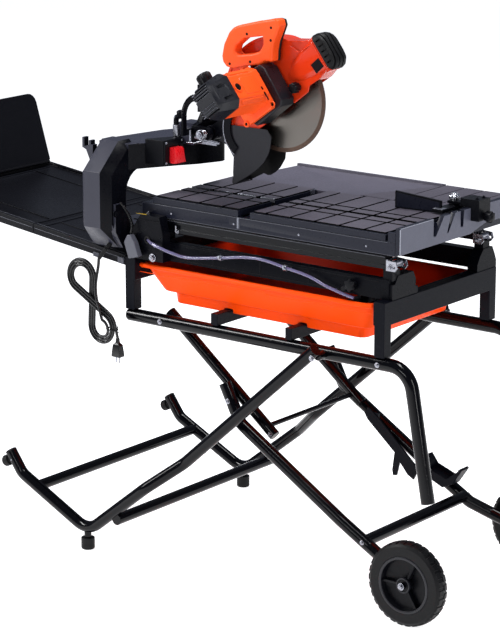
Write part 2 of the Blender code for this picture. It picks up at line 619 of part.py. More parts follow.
outer = hy(guard_outline(149, -30), GUARD_Y0, GUARD_Y1)
inner = hy(
    [(143 * math.cos(math.radians(196 - 12.5 * k)), 143 * math.sin(math.radians(196 - 12.5 * k))) for k in range(13)]
    + [(116, 78), (150, 58), (190, 46), (190, -8), (140, -18), (108, -40), (40, -60), (-100, -60), (-139, -50)],
    GUARD_Y0 + 4, GUARD_Y1 - 4)
bore = rod((bx, GUARD_Y0 - 3, bz), (bx, GUARD_Y0 + 8, bz), 16, 16)
hinge_arm = union(hy([(-225, 26), (-200, 52), (-138, 46), (-132, -10), (-150, -20), (-205, 22)], -84, -36),
                  rod((PLUNGE[0], -84, PLUNGE[1]), (PLUNGE[0], -36, PLUNGE[1]), 19, 18))
hinge_arm = cut(hinge_arm, rod((PLUNGE[0], -90, PLUNGE[1]), (PLUNGE[0], -30, PLUNGE[1]), 7.4, 16),
                rod((bx, -82, bz), (bx, -38, bz), 143.5, 40))
guard = cut(union(cut(outer, inner), hinge_arm), bore)
node("guard", moved(guard, RAISE), "guard_paint", "plunge_body")
node("duct_cap", moved(hy([(182.4, -24), (196, -21), (204, -9), (199, 46), (188, 61), (172.4, 58.8)], -88, -32), RAISE), "black_rubber", "plunge_body")

outline = [(37, 188), (98, 162), (138, 143), (146, 134), (141, 121), (126, 112), (104, 100), (86, 84), (70, 62), (52, 78.4), (38, 78.8),
           (10, 94), (-38, 116), (-50, 128), (-52, 143), (-46, 156), (-24, 175), (6, 189), (24, 191)]
opening = [(10, 151), (38, 152), (92, 124), (76, 111), (56, 106), (36, 113), (-3, 133), (-6, 143)]
handle = cut(hy(outline, -124, -92), hy(opening, -130, -86))
lug = hy([(-24, 82.6), (2, 81), (14, 96), (-22, 112)], -118, -100)
handle = union(handle, lug)
# the grip stands on the gear housing's top face
handle = cut(handle, hy([(-52, -20), (-44, -36), (44, -36), (55.3, -24), (57.3, 62.2), (48.2, 76.3), (-40, 84.3), (-52, 70)], -141.3, -91))
node("handle", moved(handle, RAISE), "orange_plastic", "plunge_body")

blade = lathe([(16.2, BLADE_Y - BLADE_T / 2), (BLADE_R, BLADE_Y - BLADE_T / 2), (BLADE_R, BLADE_Y + BLADE_T / 2), (16.2, BLADE_Y + BLADE_T / 2)],
              "Y", (bx, 0, bz), 64)
node("blade", moved(blade, RAISE), "blade_steel", "blade_body")
arbor = lathe([(0, -85.0), (15, -85.0), (15, -66), (25, -66), (25, -62.5), (15.9, -62.5), (15.9, -59.5), (25, -59.5), (25, -55), (10, -54), (10, -46), (0, -46)],
              "Y", (bx, 0, bz), 24)
node("arbor_flange", moved(arbor, RAISE), "bright_steel", "blade_body")
knob_c = head(76, -10)
node("guard_knob", moved(lathe([(0, -114), (10, -114), (13, -110), (13, -92), (8, -90), (8, -85.4), (0, -85.4)],
                               "Y", (knob_c[0], 0, knob_c[1]), 14), RAISE), "black_plastic", "guard_knob_body")

# --------------------------------------------------------- folding legs


def leg_a(s):
    y0, y1 = s * LEG_Y, s * FOOT_Y
    main = tube([(227.5, y0, 608), (-160, y0, 262), (-245, y1, 193), (-430, y1, 46), (-647, y1, 153), (-685, y1, 205)],
                LEG_R, 12, [60, 60, 60, 45], 4)
    spacer = rod((PIVOT_A[0], s * 235, PIVOT_A[1]), (PIVOT_A[0], s * 258, PIVOT_A[1]), 10, 12)
    stud = rod((-432, y1, 30.2), (-432, y1, 46), 9, 12)
    return main, spacer, stud


near_a, far_a = leg_a(-1), leg_a(1)
crossbars = [rod((-597, -FOOT_Y, 129), (-597, FOOT_Y, 129), 13.5, 12), rod((-334, -318, 96), (-334, 318, 96), 14, 12)]
node("foot_frame", union(near_a[0], crossbars[0], crossbars[1], far_a[0], near_a[1], near_a[2], far_a[1], far_a[2]), "gloss_black", "foot_body")
for side, s in (("near", -1), ("far", 1)):
    node("foot_" + side, lathe([(0, 0), (15, 0), (17, 3), (17, 29.8), (0, 29.8)], "Z", (-432, s * FOOT_Y, 0), 16), "black_rubber", "foot_body")

for side, s in (("near", -1), ("far", 1)):
    bar_solid = rod((-274, s * LEVER_Y, 603), (46, s * LEVER_Y, 347.5), LEVER_R, 12)
    spacer = rod((PIVOT_B[0], s * 186, PIVOT_B[1]), (PIVOT_B[0], s * 202.1, PIVOT_B[1]), 9, 12)
    if s < 0:
        lever_near = union(bar_solid, spacer)
    else:
        lever_far = union(bar_solid, spacer)
lock_rod = rod((19.5, -LEVER_Y, 366), (19.5, LEVER_Y, 366), 6, 10)
node("lever_frame", union(lever_near, lock_rod, lever_far), "gloss_black", "lever_body")


def wheel_leg(s):
    main = tube([(-80, s * WLEG_Y, 464), (-33, s * WLEG_Y, 373), (262, s * WLEG_Y, 192), (349, s * WLEG_Y, 143), (405, s * 222, 122), (HUB[0] + 4, s * 222, HUB[1])],
                WLEG_R, 12, [40, 50, 40, 40], 4)
    axle = rod((HUB[0], s * 214, HUB[1]), (HUB[0], s * 288, HUB[1]), 7, 12)
    spacer = rod((PIVOT_C[0], s * 218, PIVOT_C[1]), (PIVOT_C[0], s * 250, PIVOT_C[1]), 9, 12)
    return main, axle, spacer


near_w, far_w = wheel_leg(-1), wheel_leg(1)
cross = rod((334.6, -WLEG_Y, 155), (334.6, WLEG_Y, 155), 14, 12)
node("wheel_frame", union(near_w[0], cross, far_w[0], near_w[1], near_w[2], far_w[1], far_w[2]), "gloss_black", "wheel_leg_body")

TYRE = [(68, 0.0), (90, 0.0), (98, 3.5), (WHEEL_R, 9), (WHEEL_R, 28.1), (98, 33.6), (90, 37.1), (68, 37.1)]
for side, s in (("near", -1), ("far", 1)):
    y0 = WHEEL_Y0
    tyre = lathe([(r, s * (y0 + t)) for r, t in TYRE], "Y", (HUB[0], 0, HUB[1]), 40)
    node("tyre_" + side, tyre, "tyre_rubber", side + "_wheel_body")
    rim = lathe([(r, s * (y0 + t)) for r, t in [(7.5, 1), (16, 1), (17, 12), (58, 14), (62, 4), (67.6, 2), (67.6, 35), (62, 34), (58, 22), (17, 20), (16, 37), (7.5, 37)]],
                "Y", (HUB[0], 0, HUB[1]), 36)
    spokes = [moved(box(14, 60, min(s * (y0 + 16), s * (y0 + 33)), max(s * (y0 + 16), s * (y0 + 33)), -2.5, 2.5),
                    Matrix.Translation((HUB[0], 0, HUB[1])) @ Matrix.Rotation(math.radians(a), 4, "Y")) for a in (180, -62, 58)]
    node("rim_" + side, union(rim, *spokes), "black_plastic", side + "_wheel_body")

# ------------------------------------------- latch and pedal, far side
latch = prism([(50, 322), (62, 337), (96, 312), (214, 206), (200, 176), (182, 186), (158, 214), (150, 178), (139, 176), (136, 190), (142, 236), (60, 306)], "Y", 183.5, 188)
latch = union(latch, box(66, 90, 186, 194.6, 300, 324))
node("latch_lever", latch, "satin_black", "latch_body")
pedal = prism([(232, 248), (250, 256), (268, 232), (318, 214), (352, 240), (357, 236), (330, 196), (300, 182), (268, 196), (244, 214)], "Y", 160, 192)
pedal = cut(pedal, prism([(262, 222), (312, 206), (345, 232), (330, 250), (262, 262)], "Y", 150, 188))
node("foot_pedal", cut(pedal, prism([(200, 150), (400, 60), (400, 176), (290, 181), (240, 212.5), (200, 235)], "Y", 150, 200)), "satin_black", "pedal_body")

node("base_knob", lathe([(0, -204.4), (7, -204.4), (7, -208), (14, -210), (14, -226), (11, -229), (0, -229)], "Y", (290, 0, 760), 14), "black_plastic", "base_knob_body")

# ------------------------------------------------- cords and water hose
node("cord_gland", union(rod((-400, -250, 766), (-403, -262, 756), 6, 10), rod((-403, -262, 757), (-421, -268, 731), 5, 10)), "black_rubber")
mains = smooth([(-421.7, -268.2, 729.8), (-430, -268, 687), (-426, -268, 644), (-416, -268, 622)], 12)
cord("mains_cord", mains, 3.4, "cable_rubber")
hank = [(-519, 676), (-505, 706), (-480, 716), (-456, 700), (-436, 655), (-424, 618), (-392, 600), (-370, 566), (-358, 548),
        (-372, 540), (-396, 536), (-422, 532), (-448, 546), (-462, 584), (-456, 612), (-480, 634), (-508, 646)]
node("cord_hank", prism(hank, "Y", -275, -261), "cable_rubber")
node("plug", union(prism([(-371, 539.6), (-356, 547.6), (-344, 520), (-350, 488), (-372, 492), (-380, 520)], "Y", -280, -256),
                   box(-368, -362, -272, -271, 478, 492), box(-368, -362, -265, -264, 478, 492)), "cable_rubber")
cord("lead_cable", smooth([(-367.2, -250, 873), (-354, -240, 852), (-330, -245, 830), (-331, -246, 812), (-338.5, -246, 800.8)], 14), 3.0, "cable_rubber")
node("lead_connector", prism([(-344, 797), (-354, 778), (-340, 739), (-309, 747), (-322, 782), (-333, 797)], "Y", -254, -238), "grey_plastic")
hose = smooth([(-298.6, -216, 787), (-298, -238, 785), (-255, -240, 781), (-213, -240, 768), (-166, -238, 760), (-72, -232, 775), (-12, -228, 784),
               (43, -226, 786), (115, -226, 776), (179, -226, 766), (226, -224, 750), (262, -221, 740), (300, -219, 732)], 70)
cord("water_hose", hose, 3.6, "clear_hose")
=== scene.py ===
"""Looks of the overhead wet tile cutter on its folding wheeled stand.

Pieces are drawn in millimetres in the part's own working frame (X along the
cut, the operator at +X; Y across; Z up) and moved to the row frame by SHIFT.
"""
import json
import math

import bmesh
import bpy
from mathutils import Matrix, Vector

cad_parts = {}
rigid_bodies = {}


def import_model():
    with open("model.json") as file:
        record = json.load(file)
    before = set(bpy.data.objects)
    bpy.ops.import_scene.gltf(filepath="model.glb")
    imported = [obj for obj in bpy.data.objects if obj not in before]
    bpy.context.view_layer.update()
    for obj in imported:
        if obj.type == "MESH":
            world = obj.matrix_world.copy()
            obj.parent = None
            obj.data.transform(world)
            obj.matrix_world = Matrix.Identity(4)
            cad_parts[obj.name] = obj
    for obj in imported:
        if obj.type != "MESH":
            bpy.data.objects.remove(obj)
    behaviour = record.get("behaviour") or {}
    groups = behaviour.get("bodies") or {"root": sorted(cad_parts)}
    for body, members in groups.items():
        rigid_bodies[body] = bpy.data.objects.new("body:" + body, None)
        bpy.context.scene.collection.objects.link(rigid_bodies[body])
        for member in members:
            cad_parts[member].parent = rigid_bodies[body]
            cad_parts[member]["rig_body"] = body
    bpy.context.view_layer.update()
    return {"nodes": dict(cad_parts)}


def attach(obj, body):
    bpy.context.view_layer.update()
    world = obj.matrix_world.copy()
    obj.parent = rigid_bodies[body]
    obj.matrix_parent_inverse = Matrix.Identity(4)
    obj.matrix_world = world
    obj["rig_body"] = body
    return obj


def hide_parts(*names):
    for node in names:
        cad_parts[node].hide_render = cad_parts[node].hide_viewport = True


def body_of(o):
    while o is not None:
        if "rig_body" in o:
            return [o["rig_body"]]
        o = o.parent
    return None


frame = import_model()
NODES = frame["nodes"]

SHIFT = Vector((239.36, -5.75, 0.0))
RAISED, PLUNGE = 37.0, (-222.0, 1034.0)
BX, BZ = -4.0, 995.0            # blade centre with the head down
BLADE, BLADE_Y = (BX, 0, BZ), -61.0
HUB_X, HUB_Z = 488.8, 100.5
HUB = (HUB_X, 0, HUB_Z)
UPWARD, TO_NEAR, TO_FRONT = (0, 0, 1), (0, -1, 0), (1, 0, 0)


def w(p):
    """Working millimetres to row-frame metres."""
    return (Vector(p) + SHIFT) / 1000


def add(name, data):
    obj = bpy.data.objects.new(name, data)
    bpy.context.scene.collection.objects.link(obj)
    return obj


# ---- camera, light
target = w((-166.85, 0, 560.82))
az, el, far = math.radians(37.78), math.radians(14.49), 6.36592
back = Vector((math.sin(az) * math.cos(el), -math.cos(az) * math.cos(el), math.sin(el)))
cam_data = bpy.data.cameras.new("camera")
cam_data.lens, cam_data.sensor_width = 145.58, 36.0
cam_data.sensor_fit = "AUTO"
cam_data.clip_end = 100
cam = add("camera", cam_data)
cam.location = target + back * far
cam.rotation_euler = back.to_track_quat("Z", "Y").to_euler()
bpy.context.scene.camera = cam
bpy.context.scene.view_settings.view_transform = "Standard"


def area(name, at, look, size, energy, colour=(1, 1, 1)):
    data = bpy.data.lights.new(name, "AREA")
    data.shape, data.size, data.size_y = "RECTANGLE", size[0], size[1]
    data.energy, data.color = energy, colour
    lamp = add(name, data)
    lamp.location = at
    lamp.rotation_euler = (Vector(at) - Vector(look)).to_track_quat("Z", "Y").to_euler()


area("key", (-2.6, -2.4, 3.0), (0, 0, 0.75), (0.45, 3.0), 150)
area("over", (0.4, 0.2, 3.6), (0, 0, 0.7), (2.6, 0.6), 105)
area("right", (4.4, -1.4, 1.8), (0, 0, 0.7), (0.35, 2.8), 62)
area("front", (0.6, -4.8, 2.6), (0, 0, 0.7), (1.8, 0.3), 32)
world = bpy.data.worlds.new("studio")
world.use_nodes = True
sky = world.node_tree.nodes["Background"].inputs
sky["Color"].default_value = (0.72, 0.8, 1.0, 1)
sky["Strength"].default_value = 0.2
bpy.context.scene.world = world


# ---- materials
M = {}


def paint(name, colour, rough, metal=0.0, mottle=0.14, scale=30.0, spread=0.07, grain=0.0, grain_scale=900.0,
        coat=0.0, aniso=0.0, scuffs=0.0, clear=0.0, gleam=0.5):
    """A finish whose colour, roughness and surface vary with procedural noise."""
    made = bpy.data.materials.new(name)
    made.use_nodes = True
    nodes, links = made.node_tree.nodes, made.node_tree.links
    bsdf = nodes["Principled BSDF"]

    def node(kind, **values):
        one = nodes.new("ShaderNode" + kind)
        for socket, value in values.items():
            one.inputs[socket.replace("_", " ")].default_value = value
        return one

    def noise(vector, size, detail):
        one = node("TexNoise", Scale=size, Detail=detail)
        links.new(vector, one.inputs["Vector"])
        return one

    def mix(factor, b):
        one = node("Mix")
        one.data_type = "RGBA"
        one.inputs["B"].default_value = (*[min(c, 1) for c in b], 1)
        links.new(factor, one.inputs["Factor"])
        return one

    place = node("TexCoord").outputs["Object"]
    cloud = noise(place, scale, 6)
    cloud.inputs["Roughness"].default_value = 0.65
    tint = mix(cloud.outputs["Fac"], [c * (1 + mottle) for c in colour])
    tint.inputs["A"].default_value = (*[c * (1 - mottle) for c in colour], 1)
    last = tint.outputs["Result"]
    gloss = node("MapRange", From_Min=0.3, From_Max=0.7, To_Min=max(rough - spread, 0.03),
        To_Max=rough + spread)
    links.new(noise(place, scale * 6, 8).outputs["Fac"], gloss.inputs["Value"])
    links.new(gloss.outputs["Result"], bsdf.inputs["Roughness"])
    if scuffs:
        streak = node("Mapping", Scale=(9, 90, 30))
        links.new(place, streak.inputs["Vector"])
        keep = node("MapRange", From_Min=0.62, From_Max=0.74, To_Max=scuffs)
        links.new(noise(streak.outputs["Vector"], 6, 10).outputs["Fac"], keep.inputs["Value"])
        rub = mix(keep.outputs["Result"], [c * 2.4 + 0.03 for c in colour])
        links.new(last, rub.inputs["A"])
        last = rub.outputs["Result"]
    links.new(last, bsdf.inputs["Base Color"])
    if grain:
        bump = node("Bump", Strength=grain, Distance=0.0006)
        links.new(noise(place, grain_scale, 3).outputs["Fac"], bump.inputs["Height"])
        links.new(bump.outputs["Normal"], bsdf.inputs["Normal"])
    for socket, value in (("Metallic", metal), ("Coat Weight", coat), ("Coat Roughness", 0.08),
            ("Anisotropic", aniso), ("Transmission Weight", clear), ("Specular IOR Level", gleam)):
        bsdf.inputs[socket].default_value = value
    M[name] = made
    return made


paint("gloss_black", (0.001, 0.001, 0.0018), 0.13, grain=0.04, grain_scale=500, gleam=0.18)
paint("satin_black", (0.002, 0.0024, 0.005), 0.34, grain=0.25, grain_scale=1100, scuffs=0.1, gleam=0.07)
paint("casting", (0.0016, 0.0018, 0.0034), 0.32, grain=0.3, grain_scale=900, scuffs=0.1, gleam=0.08)
paint("grey_face", (0.085, 0.088, 0.12), 0.4, grain=0.3, grain_scale=1100, gleam=0.35)
# A lighter copy of the casting black: painted light on the lit side of the arm column.
paint("column", (0.018, 0.0185, 0.031), 0.36, grain=0.3, grain_scale=1000, scuffs=0.1, gleam=0.35)
paint("black_plastic", (0.0024, 0.0026, 0.004), 0.36, grain=0.25, grain_scale=1300, scuffs=0.1, gleam=0.12)
paint("tray_plastic", (0.0028, 0.0029, 0.0046), 0.36, grain=0.3, grain_scale=1100, scuffs=0.12, gleam=0.12)
paint("dark_plastic", (0.0075, 0.0078, 0.011), 0.33, grain=0.2, grain_scale=1300, gleam=0.3)
paint("black_rubber", (0.0025, 0.0025, 0.003), 0.55, grain=0.4, grain_scale=800, gleam=0.2)
paint("flap_rubber", (0.008, 0.0082, 0.012), 0.5, grain=0.3, grain_scale=800, gleam=0.25)
paint("tyre_rubber", (0.0024, 0.0024, 0.003), 0.42, grain=0.45, grain_scale=700, scuffs=0.2, gleam=0.16)
paint("mat_rubber", (0.062, 0.055, 0.073), 0.42, mottle=0.2, grain=0.35, grain_scale=700, scuffs=0.15,
    gleam=0.55)
paint("table_side", (0.0065, 0.0075, 0.015), 0.32, grain=0.2, grain_scale=1100, scuffs=0.1, gleam=0.2)
paint("zinc", (0.3, 0.305, 0.34), 0.24, 1.0, mottle=0.1, grain=0.1)
# Painted highlight: a lighter grey for thin lines along the rails' top edges and the table frame's fold lines.
paint("painted_edge_highlight", (0.07, 0.072, 0.09), 0.35, 0.3, mottle=0.1)
paint("plate_face", (0.075, 0.07, 0.095), 0.42, mottle=0.2, grain=0.3, grain_scale=900, scuffs=0.1, gleam=0.5)
# Near-black painted shade: put on the side walls and floors of the gaps between the mat pads and in holes and
# recesses, where shade falls.
paint("painted_recess_shade", (0.0012, 0.0012, 0.0015), 0.6, gleam=0.1)
paint("orange_plastic", (0.82, 0.08, 0.011), 0.34, mottle=0.05, grain=0.2, grain_scale=1300, gleam=0.2)
paint("basin_plastic", (0.95, 0.066, 0.001), 0.4, mottle=0.05, grain=0.15, grain_scale=900, gleam=0.1)
# A darker copy of the basin orange: painted shade on the basin's inner faces.
paint("basin_shaded_inner", (0.8, 0.026, 0.001), 0.42, mottle=0.08, grain=0.15, gleam=0.1)
paint("guard_paint", (0.56, 0.03, 0.005), 0.2, mottle=0.05, grain=0.05, grain_scale=300, coat=0.08, gleam=0.25)
paint("red_plastic", (0.75, 0.01, 0.016), 0.3, mottle=0.06, grain=0.1)
paint("blade_steel", (0.17, 0.155, 0.14), 0.27, 1.0, mottle=0.04, scale=3, spread=0.0, aniso=0.8)
paint("blade_rim", (0.09, 0.055, 0.04), 0.42, 0.7, mottle=0.3, scale=180, grain=0.5, grain_scale=1500)
paint("chrome", (0.62, 0.63, 0.67), 0.16, 1.0, mottle=0.08, grain=0.08)
paint("bright_edge", (0.3, 0.31, 0.36), 0.3, 0.9, mottle=0.1, grain=0.1)
paint("black_rail", (0.0012, 0.0015, 0.0028), 0.2, mottle=0.1, grain=0.1, scuffs=0.1, gleam=0.16)
paint("cable_rubber", (0.0018, 0.0018, 0.0022), 0.28, mottle=0.1, grain=0.1, grain_scale=600, gleam=0.35)
paint("grey_plastic", (0.06, 0.062, 0.08), 0.36, grain=0.2)
paint("clear_hose", (0.2, 0.18, 0.34), 0.1, mottle=0.15, clear=0.5, coat=0.6)
paint("yellow_mark", (0.5, 0.32, 0.02), 0.5)
turning = M["blade_steel"].node_tree
tangent = turning.nodes.new("ShaderNodeTangent")
tangent.direction_type, tangent.axis = "RADIAL", "Y"
turning.links.new(tangent.outputs["Tangent"], turning.nodes["Principled BSDF"].inputs["Tangent"])

floor_mat = paint("floor", (0.8, 0.805, 0.82), 0.9, mottle=0.01, scale=0.6, spread=0.02, gleam=0.1)
glow = floor_mat.node_tree.nodes["Principled BSDF"].inputs
glow["Emission Color"].default_value = (1, 1, 1, 1)
glow["Emission Strength"].default_value = 0.86
WIDE = 40           # metres to each side
floor_mesh = bpy.data.meshes.new("floor")
floor_mesh.from_pydata([(-WIDE, -WIDE, 0), (WIDE, -WIDE, 0), (WIDE, WIDE, 0), (-WIDE, WIDE, 0)], [],
    [(0, 1, 2, 3)])
floor_mesh.materials.append(floor_mat)
floor = add("floor", floor_mesh)


# ---- solids as (verts, faces)
def prism(points, axis, a, b):
    def place(p, t):
        if axis == "X":
            return (t, p[0], p[1])
        return (p[0], t, p[1]) if axis == "Y" else (p[0], p[1], t)
    n = len(points)
    v = [place(p, a) for p in points] + [place(p, b) for p in points]
    f = [tuple(range(n))[::-1], tuple(range(n, 2 * n))]
    return v, f + [(i, (i + 1) % n, n + (i + 1) % n, n + i) for i in range(n)]


def box(x0, x1, y0, y1, z0, z1):
    return prism([(x0, y0), (x1, y0), (x1, y1), (x0, y1)], "Z", z0, z1)


def sides(n, rings):
    """Quads between rings of n points each, with a cap at both ends."""
    quads = [(i * n + k, i * n + (k + 1) % n, i * n + n + (k + 1) % n, i * n + n + k) for i in range(rings - 1)
        for k in range(n)]
    return quads + [tuple(range(n))[::-1], tuple(range((rings - 1) * n, rings * n))]


def polar(r, a, cx=0.0, cy=0.0):
    return (cx + r * math.cos(a), cy + r * math.sin(a))


def fillet(path, radius, steps=8):
    pts = [Vector(p) for p in path]
    out = [pts[0]]
    for i in range(1, len(pts) - 1):
        r = radius[i - 1] if isinstance(radius, (list, tuple)) else radius
        a, b, c = pts[i - 1], pts[i], pts[i + 1]
        u, t = (a - b).normalized(), (c - b).normalized()
        angle = u.angle(t)
        if r <= 0 or angle > math.radians(178):
            out.append(b)
            continue
        cut_back = min(r / math.tan(angle / 2), (a - b).length * 0.49, (c - b).length * 0.49)
        r = cut_back * math.tan(angle / 2)
        centre = b + (u + t).normalized() * (r / math.sin(angle / 2))
        p, q = b + u * cut_back - centre, b + t * cut_back - centre
        turn, axis = p.angle(q), p.cross(q).normalized()
        out += [centre + Matrix.Rotation(turn * k / steps, 3, axis) @ p for k in range(steps + 1)]
    return out + [pts[-1]]


def tube(path, r, n=24, bend=0.0):
    """A round bar along a polyline; r may be one radius for each point."""
    pts = fillet(path, bend) if bend else [Vector(p) for p in path]
    radii = r if isinstance(r, (list, tuple)) else [r] * len(pts)
    dirs = [(pts[min(i + 1, len(pts) - 1)] - pts[max(i - 1, 0)]).normalized() for i in range(len(pts))]
    side = Vector((0, 0, 1)) if abs(dirs[0].z) < 0.9 else Vector((1, 0, 0))
    u = dirs[0].cross(side).normalized()
    v = []
    for i, p in enumerate(pts):
        u = (u - dirs[i] * u.dot(dirs[i])).normalized()
        t = dirs[i].cross(u)
        v += [p + (u * math.cos(2 * math.pi * k / n) + t * math.sin(2 * math.pi * k / n)) * radii[i]
            for k in range(n)]
    return v, sides(n, len(pts))


def rod(p, q, r, n=24):
    return tube([p, q], r, n)


def lathe(profile, axis="Z", centre=(0, 0, 0), n=48):
    v, f, rings = [], [], []
    for r, t in profile:
        ring = []
        for k in range(1 if r == 0 else n):
            a = 2 * math.pi * k / n
            c, s = r * math.cos(a), r * math.sin(a)
            ring.append(len(v))
            v.append({"Y": (centre[0] + c, t, centre[2] + s), "Z": (centre[0] + c, centre[1] + s, t)}.get(axis,
                    (t, centre[1] + c, centre[2] + s)))
        rings.append(ring)
    pairs = list(zip(rings, rings[1:])) + ([(rings[-1], rings[0])] if profile[0][0] else [])
    for a, b in pairs:
        for k in range(n):
            face = []
            for i in (a[k % len(a)], a[(k + 1) % len(a)], b[(k + 1) % len(b)], b[k % len(b)]):
                if i not in face:
                    face.append(i)
            if len(face) > 2:
                f.append(tuple(face))
    return v, f


def drum(r, z0, z1, n):
    return lathe([(0, z0), (r, z0), (r, z1), (0, z1)], n=n)


def rounded(x0, x1, y0, y1, r, steps=5):
    out = []
    for cx, cy, a0 in ((x1 - r, y1 - r, 0), (x0 + r, y1 - r, 90), (x0 + r, y0 + r, 180), (x1 - r, y0 + r, 270)):
        for k in range(steps + 1):
            out.append(polar(r, math.radians(a0 + 90 * k / steps), cx, cy))
    return out


def loft(rings):
    return [p for ring in rings for p in ring], sides(len(rings[0]), len(rings))


def moved(solid, matrix):
    return [matrix @ Vector(p) for p in solid[0]], solid[1]


def placed(spot, **turns):
    """A matrix that turns a solid about the named axes, the last one first, then moves it to the spot."""
    matrix = Matrix.Translation(spot)
    for axis, angle in turns.items():
        matrix = matrix @ Matrix.Rotation(math.radians(angle), 4, axis)
    return matrix


def about_y(angle, pivot):
    t = Matrix.Translation((pivot[0], 0, pivot[1]))
    return t @ Matrix.Rotation(math.radians(angle), 4, "Y") @ t.inverted()


RAISE = about_y(-RAISED, PLUNGE)


def stood(solid, at, direction):
    """A solid drawn up +Z from the origin, stood at a point along a direction."""
    turn = Vector(direction).to_track_quat("Z", "Y").to_matrix().to_4x4()
    return moved(solid, Matrix.Translation(at) @ turn)


def put(solids):
    v, f = [], []
    for solid in solids:
        f += [tuple(i + len(v) for i in face) for face in solid[1]]
        v += [Vector(p) for p in solid[0]]
    return v, f


def bake(obj):
    """Applies the object's modifiers to its mesh."""
    bpy.context.view_layer.update()
    done = bpy.data.meshes.new_from_object(obj.evaluated_get(bpy.context.evaluated_depsgraph_get()))
    obj.modifiers.clear()
    obj.data = done


MERGE = 2e-6        # metres


def cleaned(bm, flat=0.4):
    bmesh.ops.remove_doubles(bm, verts=bm.verts, dist=MERGE)
    bmesh.ops.dissolve_degenerate(bm, dist=MERGE, edges=bm.edges)
    bmesh.ops.recalc_face_normals(bm, faces=bm.faces)
    bmesh.ops.dissolve_limit(bm, angle_limit=math.radians(flat), verts=bm.verts, edges=bm.edges)


def finish_mesh(obj, bevel, seg, smooth):
    obj.data.shade_smooth()
    obj.data.set_sharp_from_angle(angle=math.radians(smooth))
    if bevel:
        mod = obj.modifiers.new("edges", "BEVEL")
        mod.width, mod.segments = bevel / 1000, seg
        mod.limit_method, mod.angle_limit = "ANGLE", math.radians(smooth)
        mod.harden_normals = True
        mod.miter_outer = "MITER_ARC"


def dressed(name, source, matrix, mats, where, bevel, seg, smooth):
    """An object from a mesh: cleaned, edges rounded, the second finish on faces that pass `where`."""
    bm = bmesh.new()
    bm.from_mesh(source)
    bmesh.ops.transform(bm, matrix=matrix, verts=bm.verts)
    cleaned(bm)
    for face in bm.faces:
        if where and where(face.calc_center_median() * 1000 - SHIFT, face.normal):
            face.material_index = 1
    mesh = bpy.data.meshes.new(name)
    bm.to_mesh(mesh)
    bm.free()
    for mat in mats:
        if mat:
            mesh.materials.append(M[mat])
    obj = add(name, mesh)
    finish_mesh(obj, bevel, seg, smooth)
    return obj


def solid_mesh(solid):
    mesh = bpy.data.meshes.new("source")
    mesh.from_pydata([tuple(p) for p in solid[0]], [], [tuple(f) for f in solid[1]])
    return mesh


def piece(name, solid, mat, body, bevel=0.0, seg=2, smooth=38, stands_for=(), other="", where=None):
    """A new piece: one solid or a list of solids, riding on a body."""
    v, f = put(solid) if isinstance(solid, list) else solid
    source = solid_mesh(([w(p) for p in v], f))
    obj = dressed(name, source, Matrix(), (mat, other), where, bevel, seg, smooth)
    bpy.data.meshes.remove(source)
    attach(obj, body)
    if stands_for:
        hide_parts(*stands_for)
    return obj


def refined(node, mat, bevel=1.0, seg=2, smooth=38, other="", where=None):
    """The CAD solid with rounded edges and a proper finish; faces that pass `where` take the other one."""
    src = NODES[node]
    obj = dressed(node + "_skin", src.data, src.matrix_world, (mat, other), where, bevel, seg, smooth)
    owner = body_of(src)
    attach(obj, owner if isinstance(owner, str) else owner[0])
    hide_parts(node)
    return obj


def combine(first, others, operation):
    """Exact Boolean of closed solids."""
    def made(solid):
        mesh = solid_mesh(solid)
        bm = bmesh.new()
        bm.from_mesh(mesh)
        bmesh.ops.recalc_face_normals(bm, faces=bm.faces)
        bm.to_mesh(mesh)
        bm.free()
        return add("tool", mesh)
    base = made(first)
    for solid in others:
        other = made(solid)
        mod = base.modifiers.new("b", "BOOLEAN")
        mod.object, mod.operation, mod.solver = other, operation, "EXACT"
        bake(base)
        bpy.data.objects.remove(other, do_unlink=True)
    v = [tuple(p.co) for p in base.data.vertices]
    f = [tuple(p.vertices) for p in base.data.polygons]
    bpy.data.objects.remove(base, do_unlink=True)
    return v, f


def cut(first, *others):
    return combine(first, others, "DIFFERENCE")


def smooth(points, step):
    """Catmull-Rom through the points, resampled at even spacing."""
    pts = [Vector(p) for p in points]
    pts = [pts[0] * 2 - pts[1]] + pts + [pts[-1] * 2 - pts[-2]]
    fine = []
    for i in range(1, len(pts) - 2):
        p0, p1, p2, p3 = pts[i - 1:i + 3]
        for k in range(24):
            t = k / 24
            fine.append(0.5 * ((2 * p1) + (p2 - p0) * t + (2 * p0 - 5 * p1 + 4 * p2 - p3) * t * t
                    + (3 * p1 - p0 - 3 * p2 + p3) * t ** 3))
    fine.append(pts[-2])
    run = [0.0]
    for a, b in zip(fine, fine[1:]):
        run.append(run[-1] + (b - a).length)
    count = max(int(run[-1] / step), 4)
    out, j = [], 0
    for k in range(count + 1):
        want = run[-1] * k / count
        while j < len(run) - 2 and run[j + 1] < want:
            j += 1
        span = max(run[j + 1] - run[j], 1e-9)
        out.append(fine[j].lerp(fine[j + 1], min(max((want - run[j]) / span, 0), 1)))
    return out


def wire(name, points, diameter, mat, body):
    """A round cord as one open spline; returns it and its length in metres."""
    curve = bpy.data.curves.new(name, "CURVE")
    curve.dimensions = "3D"
    curve.bevel_depth = diameter / 2000
    curve.bevel_resolution = 4
    curve.use_fill_caps = True
    spline = curve.splines.new("POLY")
    spline.points.add(len(points) - 1)
    for point, p in zip(spline.points, points):
        point.co = (*w(p), 1.0)
    spline.use_smooth = True
    curve.materials.append(M[mat])
    obj = add(name, curve)
    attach(obj, body)
    return obj, sum((b - a).length for a, b in zip(points, points[1:])) / 1000


